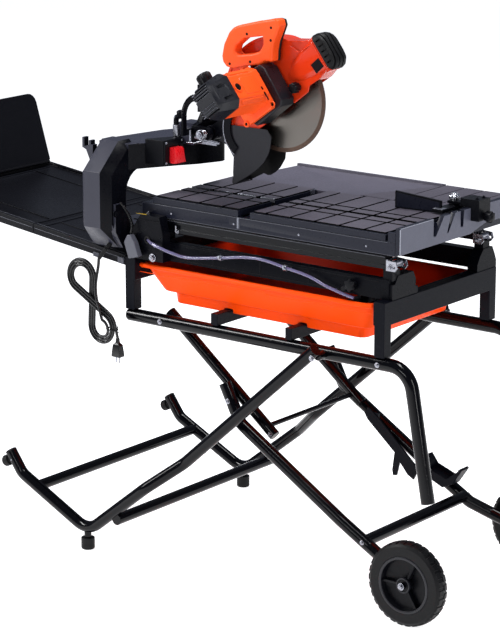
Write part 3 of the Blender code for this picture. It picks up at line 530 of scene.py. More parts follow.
# ---- fittings
def hex_bolt(r, h=None, washer=True):
    """Hexagon head on a washer, drawn up +Z."""
    h = h or r * 0.7
    t = r * 0.22 if washer else 0.0
    parts = [lathe([(0, 0), (r * 1.45, 0), (r * 1.45, t), (0, t)], n=24)] if washer else []
    flats = [polar(r, math.radians(60 * k + 12)) for k in range(6)]
    top = [(x * 0.86, y * 0.86) for x, y in flats]
    parts.append(loft([[(x, y, t) for x, y in flats], [(x, y, t + h * 0.8) for x, y in flats],
                [(x, y, t + h) for x, y in top]]))
    parts.append(lathe([(0, t + h), (r * 0.45, t + h), (r * 0.4, t + h + 1.4), (0, t + h + 1.8)], n=16))
    return put(parts)


def pan_screw(r):
    """Round-headed cross screw, drawn up +Z."""
    return lathe([(0, 0), (r, 0), (r, r * 0.25), (r * 0.75, r * 0.55), (r * 0.3, r * 0.62), (0, r * 0.4)], n=20)


def knurled(r, h, lobes=14, depth=0.12):
    """A grip knob with flutes, drawn up +Z."""
    def ring(z, k):
        out = []
        for i in range(lobes * 4):
            a = 2 * math.pi * i / (lobes * 4)
            rr = r * k * (1 - depth * (0.5 + 0.5 * math.cos(lobes * a)))
            out.append((*polar(rr, a), z))
        return out
    return loft([ring(0, 0.9), ring(h * 0.12, 1.0), ring(h * 0.82, 1.0), ring(h * 0.95, 0.9), ring(h, 0.72)])


def hy(points, y0, y1):
    """A blade-centred outline of the lowered head, from y0 to y1."""
    return prism([(BX + x, BZ + z) for x, z in points], "Y", y0, y1)


def at_head(x, y, z):
    """Where a blade-centred point of the lowered head is with the head up."""
    return RAISE @ Vector((BX + x, y, BZ + z))


HEAD_UP = Vector((-math.sin(math.radians(RAISED)), 0, math.cos(math.radians(RAISED))))


# ---- the cords
UPPER_LOOP, LOWER_LOOP, STRAND = (-479, 680), (-416, 562), 7.3
NEAR_LAYER, FAR_LAYER = -272.5, -264.5      # the strands cross a diameter apart


def hank(start, turns, tail):
    """The mains lead: down from its gland, round a tied figure of eight, and out to the plug."""
    (ux, uz), ur, (lx, lz), lr = UPPER_LOOP, 36, LOWER_LOOP, 34
    d = math.hypot(lx - ux, lz - uz)
    lean, half = math.atan2(lz - uz, lx - ux), math.acos((ur + lr) / d)
    first, wrap, straight = lean - half + math.pi, 2 * math.pi - 2 * half, math.sqrt(d * d - (ur + lr) ** 2)
    legs = [lr * wrap, straight, ur * wrap, straight]     # round the lower loop, up, round the upper loop, down
    whole, route, run = sum(legs), [], 0.0
    while run <= turns * whole + lr * 1.02:
        s, shift = run % whole, -9 + STRAND * run / whole
        k = 0
        while s > legs[k]:
            s -= legs[k]
            k += 1
        t = s / legs[k]
        if k == 0:
            a = first - wrap * t
            p = polar(lr + shift, a, lx, lz)
        elif k == 2:
            a = lean + half + wrap * t
            p = polar(ur - shift, a, ux, uz)
        else:
            a = first - wrap if k == 1 else lean - half
            r0, r1 = (lr + shift, ur - shift) if k == 1 else (ur - shift, lr + shift)
            c0, c1 = (LOWER_LOOP, UPPER_LOOP) if k == 1 else (UPPER_LOOP, LOWER_LOOP)
            p0, p1 = polar(r0, a, *c0), polar(-r1, a, *c1)
            p = (p0[0] + (p1[0] - p0[0]) * t, p0[1] + (p1[1] - p0[1]) * t)
        y = {0: NEAR_LAYER + 8 * t, 1: FAR_LAYER, 2: FAR_LAYER - 8 * t, 3: NEAR_LAYER}[k]
        y -= 8.5 * max(0.0, 1 - run / 75)
        route.append((p[0], y, p[1]))
        run += 9.0
    return smooth(start + route + tail, 4.0)


gland_end = (-421.7, -268.2, 729.8)
mains_route = hank([gland_end, (-423, -268.8, 712), (-425.5, -272, 688), (-425.5, -277, 662),
        (-420, -280.5, 634), (-411, -281, 608)], 3.0, [(-366.4, -269, 549), (-365, -268, 540)])
mains, mains_length = wire("mains_lead", mains_route, 7.2, "cable_rubber", "stand")
cord_tie = [(-380 + 17 * math.cos(a), -270.5 + 7.5 * math.sin(a), 561 + 2 * math.sin(a))
    for a in [2 * math.pi * k / 24 for k in range(25)]]
piece("cord_tie", [tube(cord_tie, 1.5, 10),
        tube([(-364, -275, 561), (-356, -279, 567), (-352, -281, 576)], 1.2, 8),
        tube([(-364, -275, 561), (-355, -278, 558), (-349, -280, 561)], 1.2, 8)], "black_plastic", "stand",
    smooth=60)
plug_body = loft([[(-365 + dx * s, -268 + dy * s2, z) for dx, dy in ((-1, -1), (1, -1), (1, 1), (-1, 1))]
        for z, s, s2 in ((541, 4, 4), (528, 5, 5), (524, 11, 8), (506, 13, 9.5), (496, 14, 10), (493, 13, 9))])
plug = piece("mains_plug", plug_body, "cable_rubber", "stand", bevel=2.6, seg=3, stands_for=("plug",))
blades = piece("plug_blades", [box(-371, -369.6, -271, -265, 478, 494),
        box(-360.4, -359, -271, -265, 478, 494), rod((-365, -263.5, 494), (-365, -263.5, 480), 2.2)], "chrome",
    "stand", bevel=0.4)
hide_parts("mains_cord", "cord_hank")

hose_points = [(-310, -217, 789), (-298, -230, 786.5), (-279, -241, 783), (-250, -245, 776.5),
    (-213, -243, 768), (-166, -239, 763), (-72, -233, 775), (-12, -228, 784), (43, -226, 786),
    (115, -226, 776), (179, -226, 766), (226, -224, 750), (262, -221, 740), (300, -219, 732)]
hose, hose_length = wire("hose", smooth(hose_points, 8), 7.2, "clear_hose", "stand")
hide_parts("water_hose")

lead_points = [(-367.2, -250, 873), (-354, -244, 853), (-341, -243, 832), (-336.5, -245, 815),
    (-338.5, -246, 800.8)]
lead, lead_length = wire("motor_lead", smooth(lead_points, 5), 5.0, "cable_rubber", "stand")
connector = refined("lead_connector", "grey_plastic", 2.0)
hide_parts("lead_cable")

# ---- the head
def sector(cx, cz, r0, r1, a0, a1, y0, y1, n=36):
    """Part of a flat ring in an X-Z plane."""
    arc = [math.radians(a0 + (a1 - a0) * k / n) for k in range(n + 1)]
    return prism([polar(r1, a, cx, cz) for a in arc] + [polar(r0, a, cx, cz) for a in reversed(arc)], "Y", y0,
        y1)


def raised(solid):
    return moved(solid, RAISE)


def on_head(name, solids, mat, **more):
    """A piece of the head, drawn with the head down and raised to its rest pose."""
    return piece(name, [raised(solid) for solid in solids], mat, "head", **more)


def head_box(x0, x1, y0, y1, z0, z1):
    return box(BX + x0, BX + x1, y0, y1, BZ + z0, BZ + z1)


def octagon(y, x0, x1, h, c, cz=36.0):
    pts = [(x0 + c, -h), (x1 - c, -h), (x1, -h + c), (x1, h - c), (x1 - c, h), (x0 + c, h), (x0, h - c),
        (x0, -h + c)]
    return [(BX + x, y, BZ + cz + z) for x, z in pts]


def guard_line(r, low):
    arc = [math.radians(192 - 146 * k / 44) for k in range(45)]
    pts = [(r * math.cos(a), max(r * math.sin(a), low)) for a in arc]
    return pts + [(116, 92), (150, 70), (173, 60), (181, -17), (140, -26), (104, -24), (92, -34), (42, -34),
        (40, low), (-60, low)]


shell = hy(guard_line(149, -30), -85, -35)
hollow = hy([polar(143, math.radians(196 - 150 * k / 40)) for k in range(41)]
    + [(112, 84), (150, 62), (190, 48), (190, -10), (140, -18), (108, -40), (40, -60), (-100, -60),
        (-139, -50)], -81, -39)
guard = cut(cut(shell, hollow), rod((BX, -90, BZ), (BX, -78, BZ), 16, 32))
on_head("guard_shell", [guard], "guard_paint", bevel=3.0, seg=3, stands_for=("guard",))
on_head("guard_lips", [sector(BX, BZ, 143.5, 150.6, 60, 190, -87.4, -84.6),
        sector(BX, BZ, 143.5, 150.6, 60, 190, -35.4, -32.6), sector(BX, BZ, 104, 107, 100, 150, -86, -84.5),
        sector(BX, BZ, 120, 122.5, 62, 84, -86, -84.5)], "guard_paint", bevel=0.9)
arm_side = hy([(-225, 26), (-200, 52), (-138, 46), (-132, -10), (-150, -20), (-205, 22)], -83.5, -36.5)
arm_side = cut(arm_side, rod((BX, -90, BZ), (BX, -30, BZ), 149.4, 64))
on_head("guard_arm",
    [arm_side, lathe([(8, -84), (18, -84), (18, -36), (8, -36)], "Y", (PLUNGE[0], 0, PLUNGE[1]), 40)],
    "casting", bevel=1.8)


def duct_ring(x, y0, y1, z0, z1, r):
    return [(BX + x, y, BZ + z) for y, z in rounded(y0, y1, z0, z1, r, 5)]


duct = loft([duct_ring(60, -84.6, -60, 8, 34, 10), duct_ring(76, -86.6, -50, -2, 44, 15),
        duct_ring(98, -89.4, -36, -13, 55, 20), duct_ring(128, -91, -33, -20, 61, 22),
        duct_ring(160, -91.4, -31.6, -23, 63, 20), duct_ring(179, -91.6, -31, -24.5, 64, 17)])
on_head("guard_duct", [duct], "guard_paint", bevel=0.0, smooth=60)
on_head("duct_trim", [loft([duct_ring(x, -93, -30, -26, 65.5, 18) for x in (172, 176)]),
        hy([(114, 79), (116, 80), (128, 55), (126, 54)], -91.6, -89.8),
        hy([(137, 52), (166, 50), (166, 48), (137, 50)], -92.2, -90.6)], "guard_paint", bevel=0.8)
on_head("duct_plate", [hy([(141, 11), (169, 13), (171.5, -11), (143.5, -14)], -92.4, -91.2)], "black_plastic",
    bevel=0.4)
cap_rings = [duct_ring(180, -93.5, -29, -27, 66, 16), duct_ring(190, -93.5, -29, -26, 65, 18),
    duct_ring(200, -90, -32, -20, 58, 20), duct_ring(205, -84, -38, -12, 50, 18)]
slots = [head_box(186, 215, y - 2, y + 2, -40, 90) for y in (-82, -68, -54, -40)]
slots += [head_box(186, 215, -100, -89, z - 2, z + 2) for z in (-10, 4, 18, 32, 46)]
on_head("duct_end", [cut(loft(cap_rings), *slots)], "black_rubber", bevel=0.9, stands_for=("duct_cap",))

refined("gear_housing", "dark_plastic", 2.6, 3)

flange = hy([(-60, -20), (-50, -32), (40, -34), (46, -24), (48, 64), (38, 78), (-40, 92), (-60, 74)], -157,
    -141.6)
body = loft([octagon(-152, -45, 45, 50, 18), octagon(-160, -44, 44, 48, 17),
        octagon(-168, -41.5, 41.5, 45, 16), octagon(-262.4, -41, 41, 44, 15)])
narrower = Matrix.Diagonal((0.9, 1, 0.93, 1))
shrink = Matrix.Translation((BX - 3, 0, BZ + 24)) @ narrower @ Matrix.Translation((-BX - 2, 0, -BZ - 24))
on_head("motor_shell", [moved(flange, shrink), body], "orange_plastic", bevel=3.2, seg=3,
    stands_for=("motor_housing",))
MOTOR_Z = 36                    # motor axis above the blade's
FLANGE_EARS = ((27, 73, 8), (-54, -22, 8), (40, -24, 6.5), (-46, 80, 7))


def low_pad(wide, deep, r, edge, rise):
    """A flat pad with a narrower top, drawn up +Z."""
    return loft([[(x, y, 0) for x, y in rounded(-wide, wide, -deep, deep, r)],
            [(x, y, rise) for x, y in rounded(edge - wide, wide - edge, edge - deep, deep - edge, r - 1)]])


def at_blade(x, y, z, **turns):
    """Where a solid drawn at the origin goes on the lowered head."""
    return placed((BX + x, y, BZ + z), **turns)


bosses = []
for side in (1, -1):
    bosses += [moved(low_pad(38, 8.5, 7, 1.5, 2.6),
            at_blade(side * 33.5, -212, MOTOR_Z + 37, Y=45 * side, Z=90)),
        moved(low_pad(40, 6, 5, 1.5, 2.2), at_blade(side * 34, -210, MOTOR_Z - 37.5, Y=135 * side, Z=90)),
        loft([[(BX + side * 40.8, y, BZ + z) for y, z in rounded(-228, -172, 12, 58, 8)],
                [(BX + side * 42.8, y, BZ + z) for y, z in rounded(-226, -174, 14, 56, 7)]]),
        moved(lathe([(8.6, 0), (13.4, 0), (12.6, 3.2), (9.4, 3.2)], n=36),
            at_blade(side * 40.6, -245, 35, Y=90 * side))]
for x, z, r in FLANGE_EARS:
    bosses.append(moved(lathe([(3.6, 0), (r, 0), (r - 1, 4), (4.4, 4)], n=28), at_blade(x, -156.6, z, X=90)))
on_head("motor_bosses", bosses, "orange_plastic", bevel=0.8)
# Near-black discs and slits: painted shade in the bosses' hollows, the flange ears' holes and the slits on the
# motor's side.
recess_shade_solids = [moved(drum(8.7, 0, 2.2, 36), at_blade(s * 40.6, -245, 35, Y=90 * s)) for s in (1, -1)]
recess_shade_solids.append(moved(box(-1.2, 1.2, -6.5, 6.5, 2.0, 3.0), at_blade(40.6, -245, 35, Y=90)))
recess_shade_solids += [moved(drum(3.7, 0, 2, 20), at_blade(x, -156.6, z, X=90)) for x, z, r in FLANGE_EARS]
recess_shade_solids += [head_box(41.5, 43.3, -168, -164.5, a, b) for a, b in ((-12, 10), (16, 24))]
on_head("motor_recess_shade", recess_shade_solids, "painted_recess_shade", bevel=0.3)

cap = loft([octagon(-262.6, -43, 43, 46, 15), octagon(-274, -43, 43, 46, 15), octagon(-303, -40, 24, 39, 13),
        octagon(-312, -36, 17, 34, 12)])


def across(x0, x1, y0, y1, heights, half):
    """Bars along X on both sides of the motor axis."""
    return [head_box(x0, x1, y0, y1, MOTOR_Z + s * z - half, MOTOR_Z + s * z + half) for z in heights
        for s in (1, -1)]


cap_slots = across(-60, 13, -330, -296, (13, 19.5, 26, 32.5), 1.8)
cap_slots += [moved(rod((0, 0, -20), (0, 0, 6), 4.6, 20), at_blade(31, -290, 50, Z=125, X=-90)),
    moved(box(-5.5, 5.5, -4, 4, -14, 6), at_blade(33, -287, 18, Z=125, X=-90))]
on_head("motor_end", [cut(cap, *cap_slots)], "dark_plastic", bevel=0.9, stands_for=("motor_cap",))
on_head("motor_bars", across(-38, 12, -311.5, -310.3, (16.2, 22.7, 29.2), 0.5) + across(-34, 14, -309, -297,
        (12.2, 18.7, 25.2), 0.4), "bright_edge", bevel=0.2)
knob_at = at_head(-34, -240, 82)
piece("motor_knob", [stood(drum(9, -6, 7, 24), knob_at, HEAD_UP),
        stood(knurled(18.5, 27, 10, 0.16), knob_at + HEAD_UP * 6, HEAD_UP),
        stood(lathe([(0, 0), (8, 0), (7, 1.6), (0, 1.6)], n=24), knob_at + HEAD_UP * 31, HEAD_UP)],
    "black_plastic", "head", bevel=0.8)

outline = [(37, 188), (98, 162), (138, 143), (146, 134), (141, 121), (126, 112), (104, 100), (86, 84),
    (72, 66), (56, 78.6), (38, 78.9), (10, 94), (-38, 116), (-50, 128), (-52, 143), (-46, 156), (-24, 175),
    (6, 189), (24, 191)]
window = [(6, 152), (38, 153), (86, 128), (74, 112), (56, 105), (35, 112), (-3, 132), (-7, 143)]
grip = cut(hy(outline, -125, -95), hy(window, -135, -80),
    hy([(-52, -20), (60, -30), (57.4, 62.4), (48.4, 77.4), (-40, 84.6), (-52, 70)], -141.3, -80))


def moulded(obj, voxel, rounds):
    """Turns a piece into a soft-edged moulding: a voxel skin, then smoothed."""
    skin = obj.modifiers.new("skin", "REMESH")
    skin.mode, skin.voxel_size = "VOXEL", voxel / 1000
    skin.use_smooth_shade = True
    relax = obj.modifiers.new("relax", "SMOOTH")
    relax.factor, relax.iterations = 0.5, rounds
    bake(obj)
    obj.data.shade_smooth()


moulded(on_head("grip", [grip], "orange_plastic", bevel=8.0, seg=3, stands_for=("handle",)), 1.7, 12)
strip_line = [(92, 164), (122, 151), (137.5, 142.6), (146.4, 133.8), (142, 120.5), (126, 111), (106, 99),
    (88, 83), (74, 65), (64, 74), (78, 92), (98, 108), (114, 118), (128, 130), (112, 143), (88, 154)]
on_head("grip_cover", [hy(strip_line, -99, -91.8)], "black_rubber", bevel=2.4, seg=3)
on_head("grip_seam", [hy([(37, 188.6), (98, 162.6), (98, 161), (37, 187)], -110.6, -109.6),
        hy([(-24, 112), (-22, 112), (10, 84), (4, 83)], -117, -101)], "orange_plastic", bevel=0.4)
holes = [(49.6, 157), (118.4, 131), (100, 108), (-36, 128), (18.6, 100)]
# Near-black discs: painted shade in the screw holes of the grip.
on_head("grip_hole_shade", [moved(drum(3.4, 0, 1.2, 20), at_blade(x, -124.2, z, X=90)) for x, z in holes],
    "painted_recess_shade", bevel=0.2)
lug = hy([(-24, 82.6), (2, 81), (14, 98), (6, 104), (-14, 110), (-22, 112)], -119, -100)
on_head("grip_lug", [cut(lug, hy([(-14, 88), (-4, 87), (0, 96), (-12, 100)], -130, -90))], "orange_plastic",
    bevel=1.6)
on_head("grip_pin", [rod((BX + 8, -122, BZ + 92), (BX + 8, -97, BZ + 92), 3.2)], "chrome", bevel=0.5)

disc = [(16.2, -1.1), (117, -1.1), (117, 1.1), (16.2, 1.1)]
edge = [(116.6, -1.5), (126.6, -1.5), (127, 0), (126.6, 1.5), (116.6, 1.5)]
disc, edge = [raised(lathe([(r, BLADE_Y + y) for r, y in ring], "Y", BLADE, 144)) for ring in (disc, edge)]
piece("blade_disc", disc, "blade_steel", "saw_blade", stands_for=("blade",))
piece("blade_edge", edge, "blade_rim", "saw_blade")
refined("arbor_flange", "bright_edge", 0.6)
gk = at_head(76, -85.4, -10)
piece("guard_screw_knob", [stood(knurled(13.4, 20, 9, 0.2), gk + Vector((0, -6, 0)), TO_NEAR),
        stood(drum(8, 0, 7, 24), gk, TO_NEAR),
        stood(lathe([(0, 25), (6, 25), (5, 27), (0, 27)], n=20), gk, TO_NEAR)], "black_plastic", "guard_screw",
    bevel=0.8, stands_for=("guard_knob",))

# ---- yoke, spring and splash flap
refined("bevel_yoke", "casting", 1.5)
piece("yoke_ribs", [moved(sector(0, 0, 28.5, 46.2, a, a + 4, -1.4, 1.4, 3), placed((-261.8, -98, 1079), Z=90))
        for a in range(66, 190, 9)], "casting", "bevel", bevel=0.5)
coil = []
for k in range(101):
    x, z = polar(11.5, k * math.tau / 20, *PLUNGE)
    coil.append((x, -112 - 2.6 * k / 20, z))
coil += [(-214, -126, 1022), (-236, -126, 1014), (-262, -124, 1012)]
piece("return_spring", tube(coil, 1.5, 10), "zinc", "bevel", smooth=60)
pivot_end = (PLUNGE[0], -127, PLUNGE[1])
piece("yoke_metal", [rod(pivot_end, (PLUNGE[0], -104, PLUNGE[1]), 5),
        stood(hex_bolt(6, 4), pivot_end, TO_NEAR),
        *[stood(hex_bolt(4.5), (-250.2, y, 1022), TO_FRONT) for y in (-84, -36)],
        rod((-257, -118, 1010), (-257, -118, 1042), 3), rod((-250, -108, 1024), (-184, -98, 1014), 3.4),
        box(-252, -190, -101, -97, 1008, 1015), stood(pan_screw(3.6), (-168, -92.8, 1022), TO_NEAR),
        stood(pan_screw(3.6), (-158, -92.8, 1018), TO_NEAR)], "bright_edge", "bevel", bevel=0.6)
piece("lock_lever", [tube([(-318, -96, 1004), (-318, -96, 1060), (-300, -100, 1074), (-292, -102, 1074)], 6.5,
            20, 12), stood(knurled(9, 18, 8), (-296, -104, 1066), (0, -0.3, 1))], "casting", "stand", bevel=0.6)
piece("lock_sleeve", [lathe([(8.4, 1018), (8.4, 1046), (6.6, 1046), (6.6, 1018)], "Z", (-318, -96, 0), 24),
        stood(hex_bolt(5), (-318, -96, 1064), (-0.4, -0.2, 1))], "zinc", "stand", bevel=0.5)
piece("flap_disc", sector(-99, 1055, 54, 75, 98, 234, -95.2, -92.6, 48), "casting", "bevel", bevel=0.5)
piece("flap_disc_edge", sector(-99, 1055, 74, 75.8, 96, 236, -96, -92.4, 48), "bright_edge", "bevel", bevel=0.3)


near_edge = [(-147, 918), (-120, 934), (-93, 950), (-72, 966), (-55, 983), (-43, 1002), (-36.6, 1020),
    (-33.5, 1046), (-40, 1066)]
far_edge = [(-101, 942), (-90, 939), (-81, 940), (-66, 949), (-52, 962), (-38, 984), (-36, 1000), (-40, 1018),
    (-56, 1040)]
near_sheet = [(-190, 1020), (-166, 1052), (-150, 1062), (-62, 1062),
    (-46, 1062)] + list(reversed(near_edge))[1:] + [(-148, 950), (-146, 985), (-166, 1012)]
piece("flap_near", prism(near_sheet, "Y", -90.8, -88.4), "flap_rubber", "bevel", bevel=0.4,
    stands_for=("splash_flap",))
piece("flap_far", prism([(-150, 922), (-140, 922)] + far_edge + [(-78, 1060), (-150, 1050)], "Y", -31, -28.6),
    "black_rubber", "bevel", bevel=0.4)
piece("flap_strap", box(-150, -146.4, -90.6, -28.8, 920, 935), "black_rubber", "bevel", bevel=0.8)
bevel_at = Vector((-249.6, -43, 1070))
piece("bevel_screw_knob", [stood(drum(6, 0, 4, 20), bevel_at, TO_FRONT),
        stood(knurled(17, 23, 10, 0.16), bevel_at + Vector((4, 0, 0)), TO_FRONT)], "black_plastic",
    "bevel_screw", bevel=0.8, stands_for=("bevel_knob",))

# ---- the table
TABLE_TOP = 888.5
# pad columns behind and in front of the cross slot, and pad rows on both sides of the blade slot
REAR = [(-303, -243), (-236, -173), (-166, -103), (-96, -52)]
FRONT = [(-8, 25), (32, 95), (102, 165), (172, 235), (242, 305), (312, 365.5)]
NEAR_ROWS, FAR_ROWS = [(-189, -107), (-98, -69)], [(-53, -22), (-13, 109)]


def pads(columns, rows):
    """Pads with their tops level with the table."""
    return [box(x0, x1, y0, y1, TABLE_TOP - 14.5, TABLE_TOP) for x0, x1 in columns for y0, y1 in rows]


for name, columns, rows in (("near_rear", REAR, NEAR_ROWS), ("near_front", FRONT, NEAR_ROWS),
        ("far_rear", REAR, FAR_ROWS), ("far_front", FRONT, FAR_ROWS)):
    # The pads' side walls (faces not facing up) take near-black painted shade, so the gaps between the pads
    # read dark.
    piece("pads_" + name, pads(columns, rows), "mat_rubber", "table", bevel=0.9, stands_for=("mat_" + name,),
        other="painted_recess_shade", where=lambda c, n: n.z < 0.5)
# Near-black slabs under the pads: painted shade on the floors of the gaps between the pads.
piece("pad_gap_shade", [box(x0, x1, y0, y1, 870.3, 876) for x0, x1 in ((-307, -48.5), (-12.5, 366))
        for y0, y1 in ((-197.5, -68.5), (-53.5, 110.5))], "painted_recess_shade", "table", bevel=0.6)
for name, x0, x1 in (("rear", -307, -48), ("front", -13, 372)):
    piece("pad_lips_" + name,
        [cut(box(x0, x1, -199.6, -68.5, 870.3, 885.5), box(x0 + 4, x1 - 4, -191, -59.5, 860, 900)),
            cut(box(x0, x1, -53, 111, 870.3, 885.5), box(x0 + 4, x1 - 4, -62, 120, 860, 900))], "table_side",
        "table", bevel=1.2)
piece("slot_strips",
    [box(x0, x1, -55.6, -53.4, 880, 889.3)
        for x0, x1 in ((-92, -50), (-163, -106), (-234, -177), (-303, -248))]
    + [box(-47.2, -44, 84, 100, 877, 889)], "bright_edge", "table", bevel=0.5)
refined("mat_corner", "mat_rubber", 1.1)
refined("side_plate", "plate_face", 1.3)
refined("table_frame", "table_side", 1.3)
piece("slot_plug", [box(-76, -40, -199.7, -188, 850, 870.1)], "table_side", "table", bevel=0.5)
piece("joint_strip", [box(-50, -48, -200.7, -199.8, 843, 869), box(-45.5, -44.5, -200.5, -199.8, 843, 869)],
    "bright_edge", "table", bevel=0.2)
# Thin light strips along the frame's fold lines: painted highlights.
piece("frame_highlight_lines", [box(-338, 378, -200.4, -200.02, 868, 868.9),
        box(-338, 398, -200.4, -200.02, 839.6, 840.3)], "painted_edge_highlight", "table", bevel=0.15)
piece("corner_post", [cut(box(379, 399.4, -200, -176, 870.2, 892), box(370, 396, -190, -170, 880, 900)),
        box(398, 399.4, -176, 60, 870.2, 890)], "table_side", "table", bevel=1.2)
piece("frame_screws", [stood(pan_screw(2.4), (x, -200.1, 852), TO_NEAR) for x in (-250, -60, 130, 320)]
    + [stood(pan_screw(4.2), (399.4 - 20, y, 888.6), UPWARD) for y in (-150, 20)], "bright_edge", "table",
    bevel=0.3)
refined("fence", "grey_face", 1.2, other="table_side", where=lambda c, n: n.x < 0.5)
# Thin bright strips along the fence's near corner and top edge: painted edge highlights.
piece("fence_edge_highlight", [box(411.6, 413.4, -200.4, -198.8, 844, 902), box(411.6, 413.3, -198, -70, 902.6, 904.3)],
    "bright_edge", "table", bevel=0.3)

# ---- the angle gauge
refined("gauge_clamp", "black_plastic", 1.6)
refined("gauge_head", "black_plastic", 0.9)
piece("gauge_face", [moved(prism([(-114, 892), (0, 892), (0, 914), (-114, 926)], "Y", -3.9, -3.1),
            placed((348, 57, 0), Z=6))], "table_side", "gauge_arm", bevel=0.4)
piece("gauge_arc", [prism([(337, 41), (365, 41), (365, 60), (337, 60)], "Z", 900.2, 901.6),
        rod((351, 150, 900), (351, 150, 906), 6), rod((351, 170, 900), (351, 170, 904), 4)], "bright_edge",
    "gauge_arm", bevel=0.5)
piece("gauge_grip", [stood(knurled(13.2, 12, 12, 0.12), (352, 110, 913.5), UPWARD),
        stood(lathe([(0, 0), (7, 0), (6, 4.2), (0, 4.6)], n=24), (352, 110, 925.4), UPWARD),
        rod((352, 110, 911.5), (352, 110, 914), 8)], "chrome", "gauge_screw", bevel=0.5,
    stands_for=("gauge_knob",))
piece("clamp_grip", [stood(knurled(14.6, 18, 6, 0.26), (441, 110, 884), TO_FRONT),
        rod((436.5, 110, 884), (441.5, 110, 884), 8), rod((458, 110, 884), (461, 110, 884), 5)],
    "black_plastic", "clamp_screw", bevel=1.2, stands_for=("clamp_knob",))
piece("gauge_bolts", [stood(hex_bolt(3.6), (424, y, 924), UPWARD) for y in (96, 124)], "satin_black",
    "gauge_carriage", bevel=0.4)

# ---- rails, rollers, base
for side in ("near", "far"):
    refined("slide_rail_" + side, "black_rail", 0.8)
# Thin light strips along the rails' top edges: painted highlights.
piece("rail_highlight_lines", [box(-271, 372, y, y + 0.55, 833.4, 834.3) for y in (-200.6, 204.05)], "painted_edge_highlight",
    "stand", bevel=0.2)


def roller(y0, y1):
    ends = []
    for y in (y0, y1):
        plate = cut(prism([(375, 803), (399, 803), (406, 812), (402, 826), (375, 828)], "Y", y - 1.5, y + 1.5),
            rod((397, y - 5, 813), (397, y + 5, 813), 3))
        ends += [plate, stood(hex_bolt(5.5), (385, y - 1.5, 812), TO_NEAR)]
    return ends + [rod((385, y0, 812), (385, y1, 812), 4.5), rod((391, y0 + 6, 821), (391, y1 - 6, 821), 6.5),
        box(374.5, 380, y0, y1, 825, 829)]


for side, y0, y1 in (("near", -199, -158), ("far", 158, 199)):
    piece("roller_" + side, roller(y0, y1), "zinc", "stand", bevel=0.7)
refined("saw_base", "casting", 2.0)
piece("base_bolts", [stood(hex_bolt(7, 6), (-283, -231, 745), TO_NEAR),
        stood(hex_bolt(4.4), (-232, -201, 811), TO_NEAR), rod((-232, -205, 812), (-232, -205, 826), 1.8),
        stood(hex_bolt(4), (-312, -212, 846), UPWARD)], "zinc", "stand", bevel=0.5)
piece("hose_grommet", lathe([(4.6, -234.5), (8, -234.5), (9.5, -232.6), (9.5, -230.6), (4.6, -230.6)], "Y",
        (-298, 0, 786.8), 32), "black_rubber", "stand", bevel=0.5)
piece("base_ribs", [box(-340, -258, -232.4, -230.8, 832, 835), box(-340, -258, -232.2, -230.8, 762, 764.5),
        prism([(-258, 762), (-254, 764), (-250, 800), (-254, 800)], "Y", -232.2, -230.8),
        box(-200, 360, -205.2, -203.8, 775, 777.5), box(-200, 250, -205, -203.8, 742, 744)]
    + [box(x, x + 3, -205, -203.8, 744, 776) for x in (-120, 20, 160)], "casting", "stand", bevel=0.5)
piece("caution_bar", box(-338, -306, -226, -222.6, 846, 846.5), "yellow_mark", "stand", bevel=0.1)
clips = [min(smooth(hose_points, 8), key=lambda p: abs(p[0] - x)) for x in (-72, 115)]
piece("hose_clips", [lathe([(3.9, c[0] - 4), (6.6, c[0] - 4), (6.6, c[0] + 4), (3.9, c[0] + 4)], "X",
            (0, c[1], c[2]), 24) for c in clips]
    + [box(c[0] - 2, c[0] + 2, c[1] - 10, c[1] - 6, c[2] - 2, c[2] + 7) for c in clips]
    + [box(c[0] - 2, c[0] + 2, c[1] + 3, -203, c[2] - 8, c[2] - 3) for c in clips[1:]], "bright_edge", "stand",
    bevel=0.5)
piece("base_grip", [stood(drum(8, 0, 8, 24), (290, -204.2, 760), TO_NEAR),
        stood(knurled(16, 14, 6, 0.3), (290, -211, 760), TO_NEAR),
        moved(box(-26, 0, -222, -215, -5, 5), placed((290, 0, 760), Y=-28))], "black_plastic", "base_screw",
    bevel=1.4, stands_for=("base_knob",))

# ---- arm and switch
# Painted light: the column's faces toward +X and +Y take the darker casting black as painted shade, its other
# faces the lighter column black as the lit side.
refined("arm_column", "column", 7.0, 3, other="casting", where=lambda c, n: n.x > 0.7 or n.y > 0.6)
piece("arm_screws", [stood(pan_screw(4), (-360, -190, 1006), UPWARD),
        stood(pan_screw(4), (-300, -92, 1006), UPWARD), stood(hex_bolt(6), (-372, -262, 846), TO_FRONT)],
    "casting", "stand", bevel=0.4)
refined("switch_box", "black_plastic", 1.6)
piece("switch_frame", cut(box(-300, -296.8, -165, -96, 957.5, 1015.5), box(-304, -290, -149, -107, 962, 1003)),
    "black_plastic", "stand", bevel=1.2)
piece("switch_screws", [stood(pan_screw(3.2), (-296.7, y, z), TO_FRONT) for y in (-160, -101)
        for z in (962, 1011)], "bright_edge", "stand", bevel=0.2)
refined("switch_paddle", "red_plastic", 1.8, 3)

# ---- basin, trays, pump


def basin_inside(c, n):
    inwards = n.z > 0.5 or n.x * c.x + n.y * c.y < -1
    return 630 < c.z < 716 and abs(c.y) < 209 and -331 < c.x < 343 and inwards


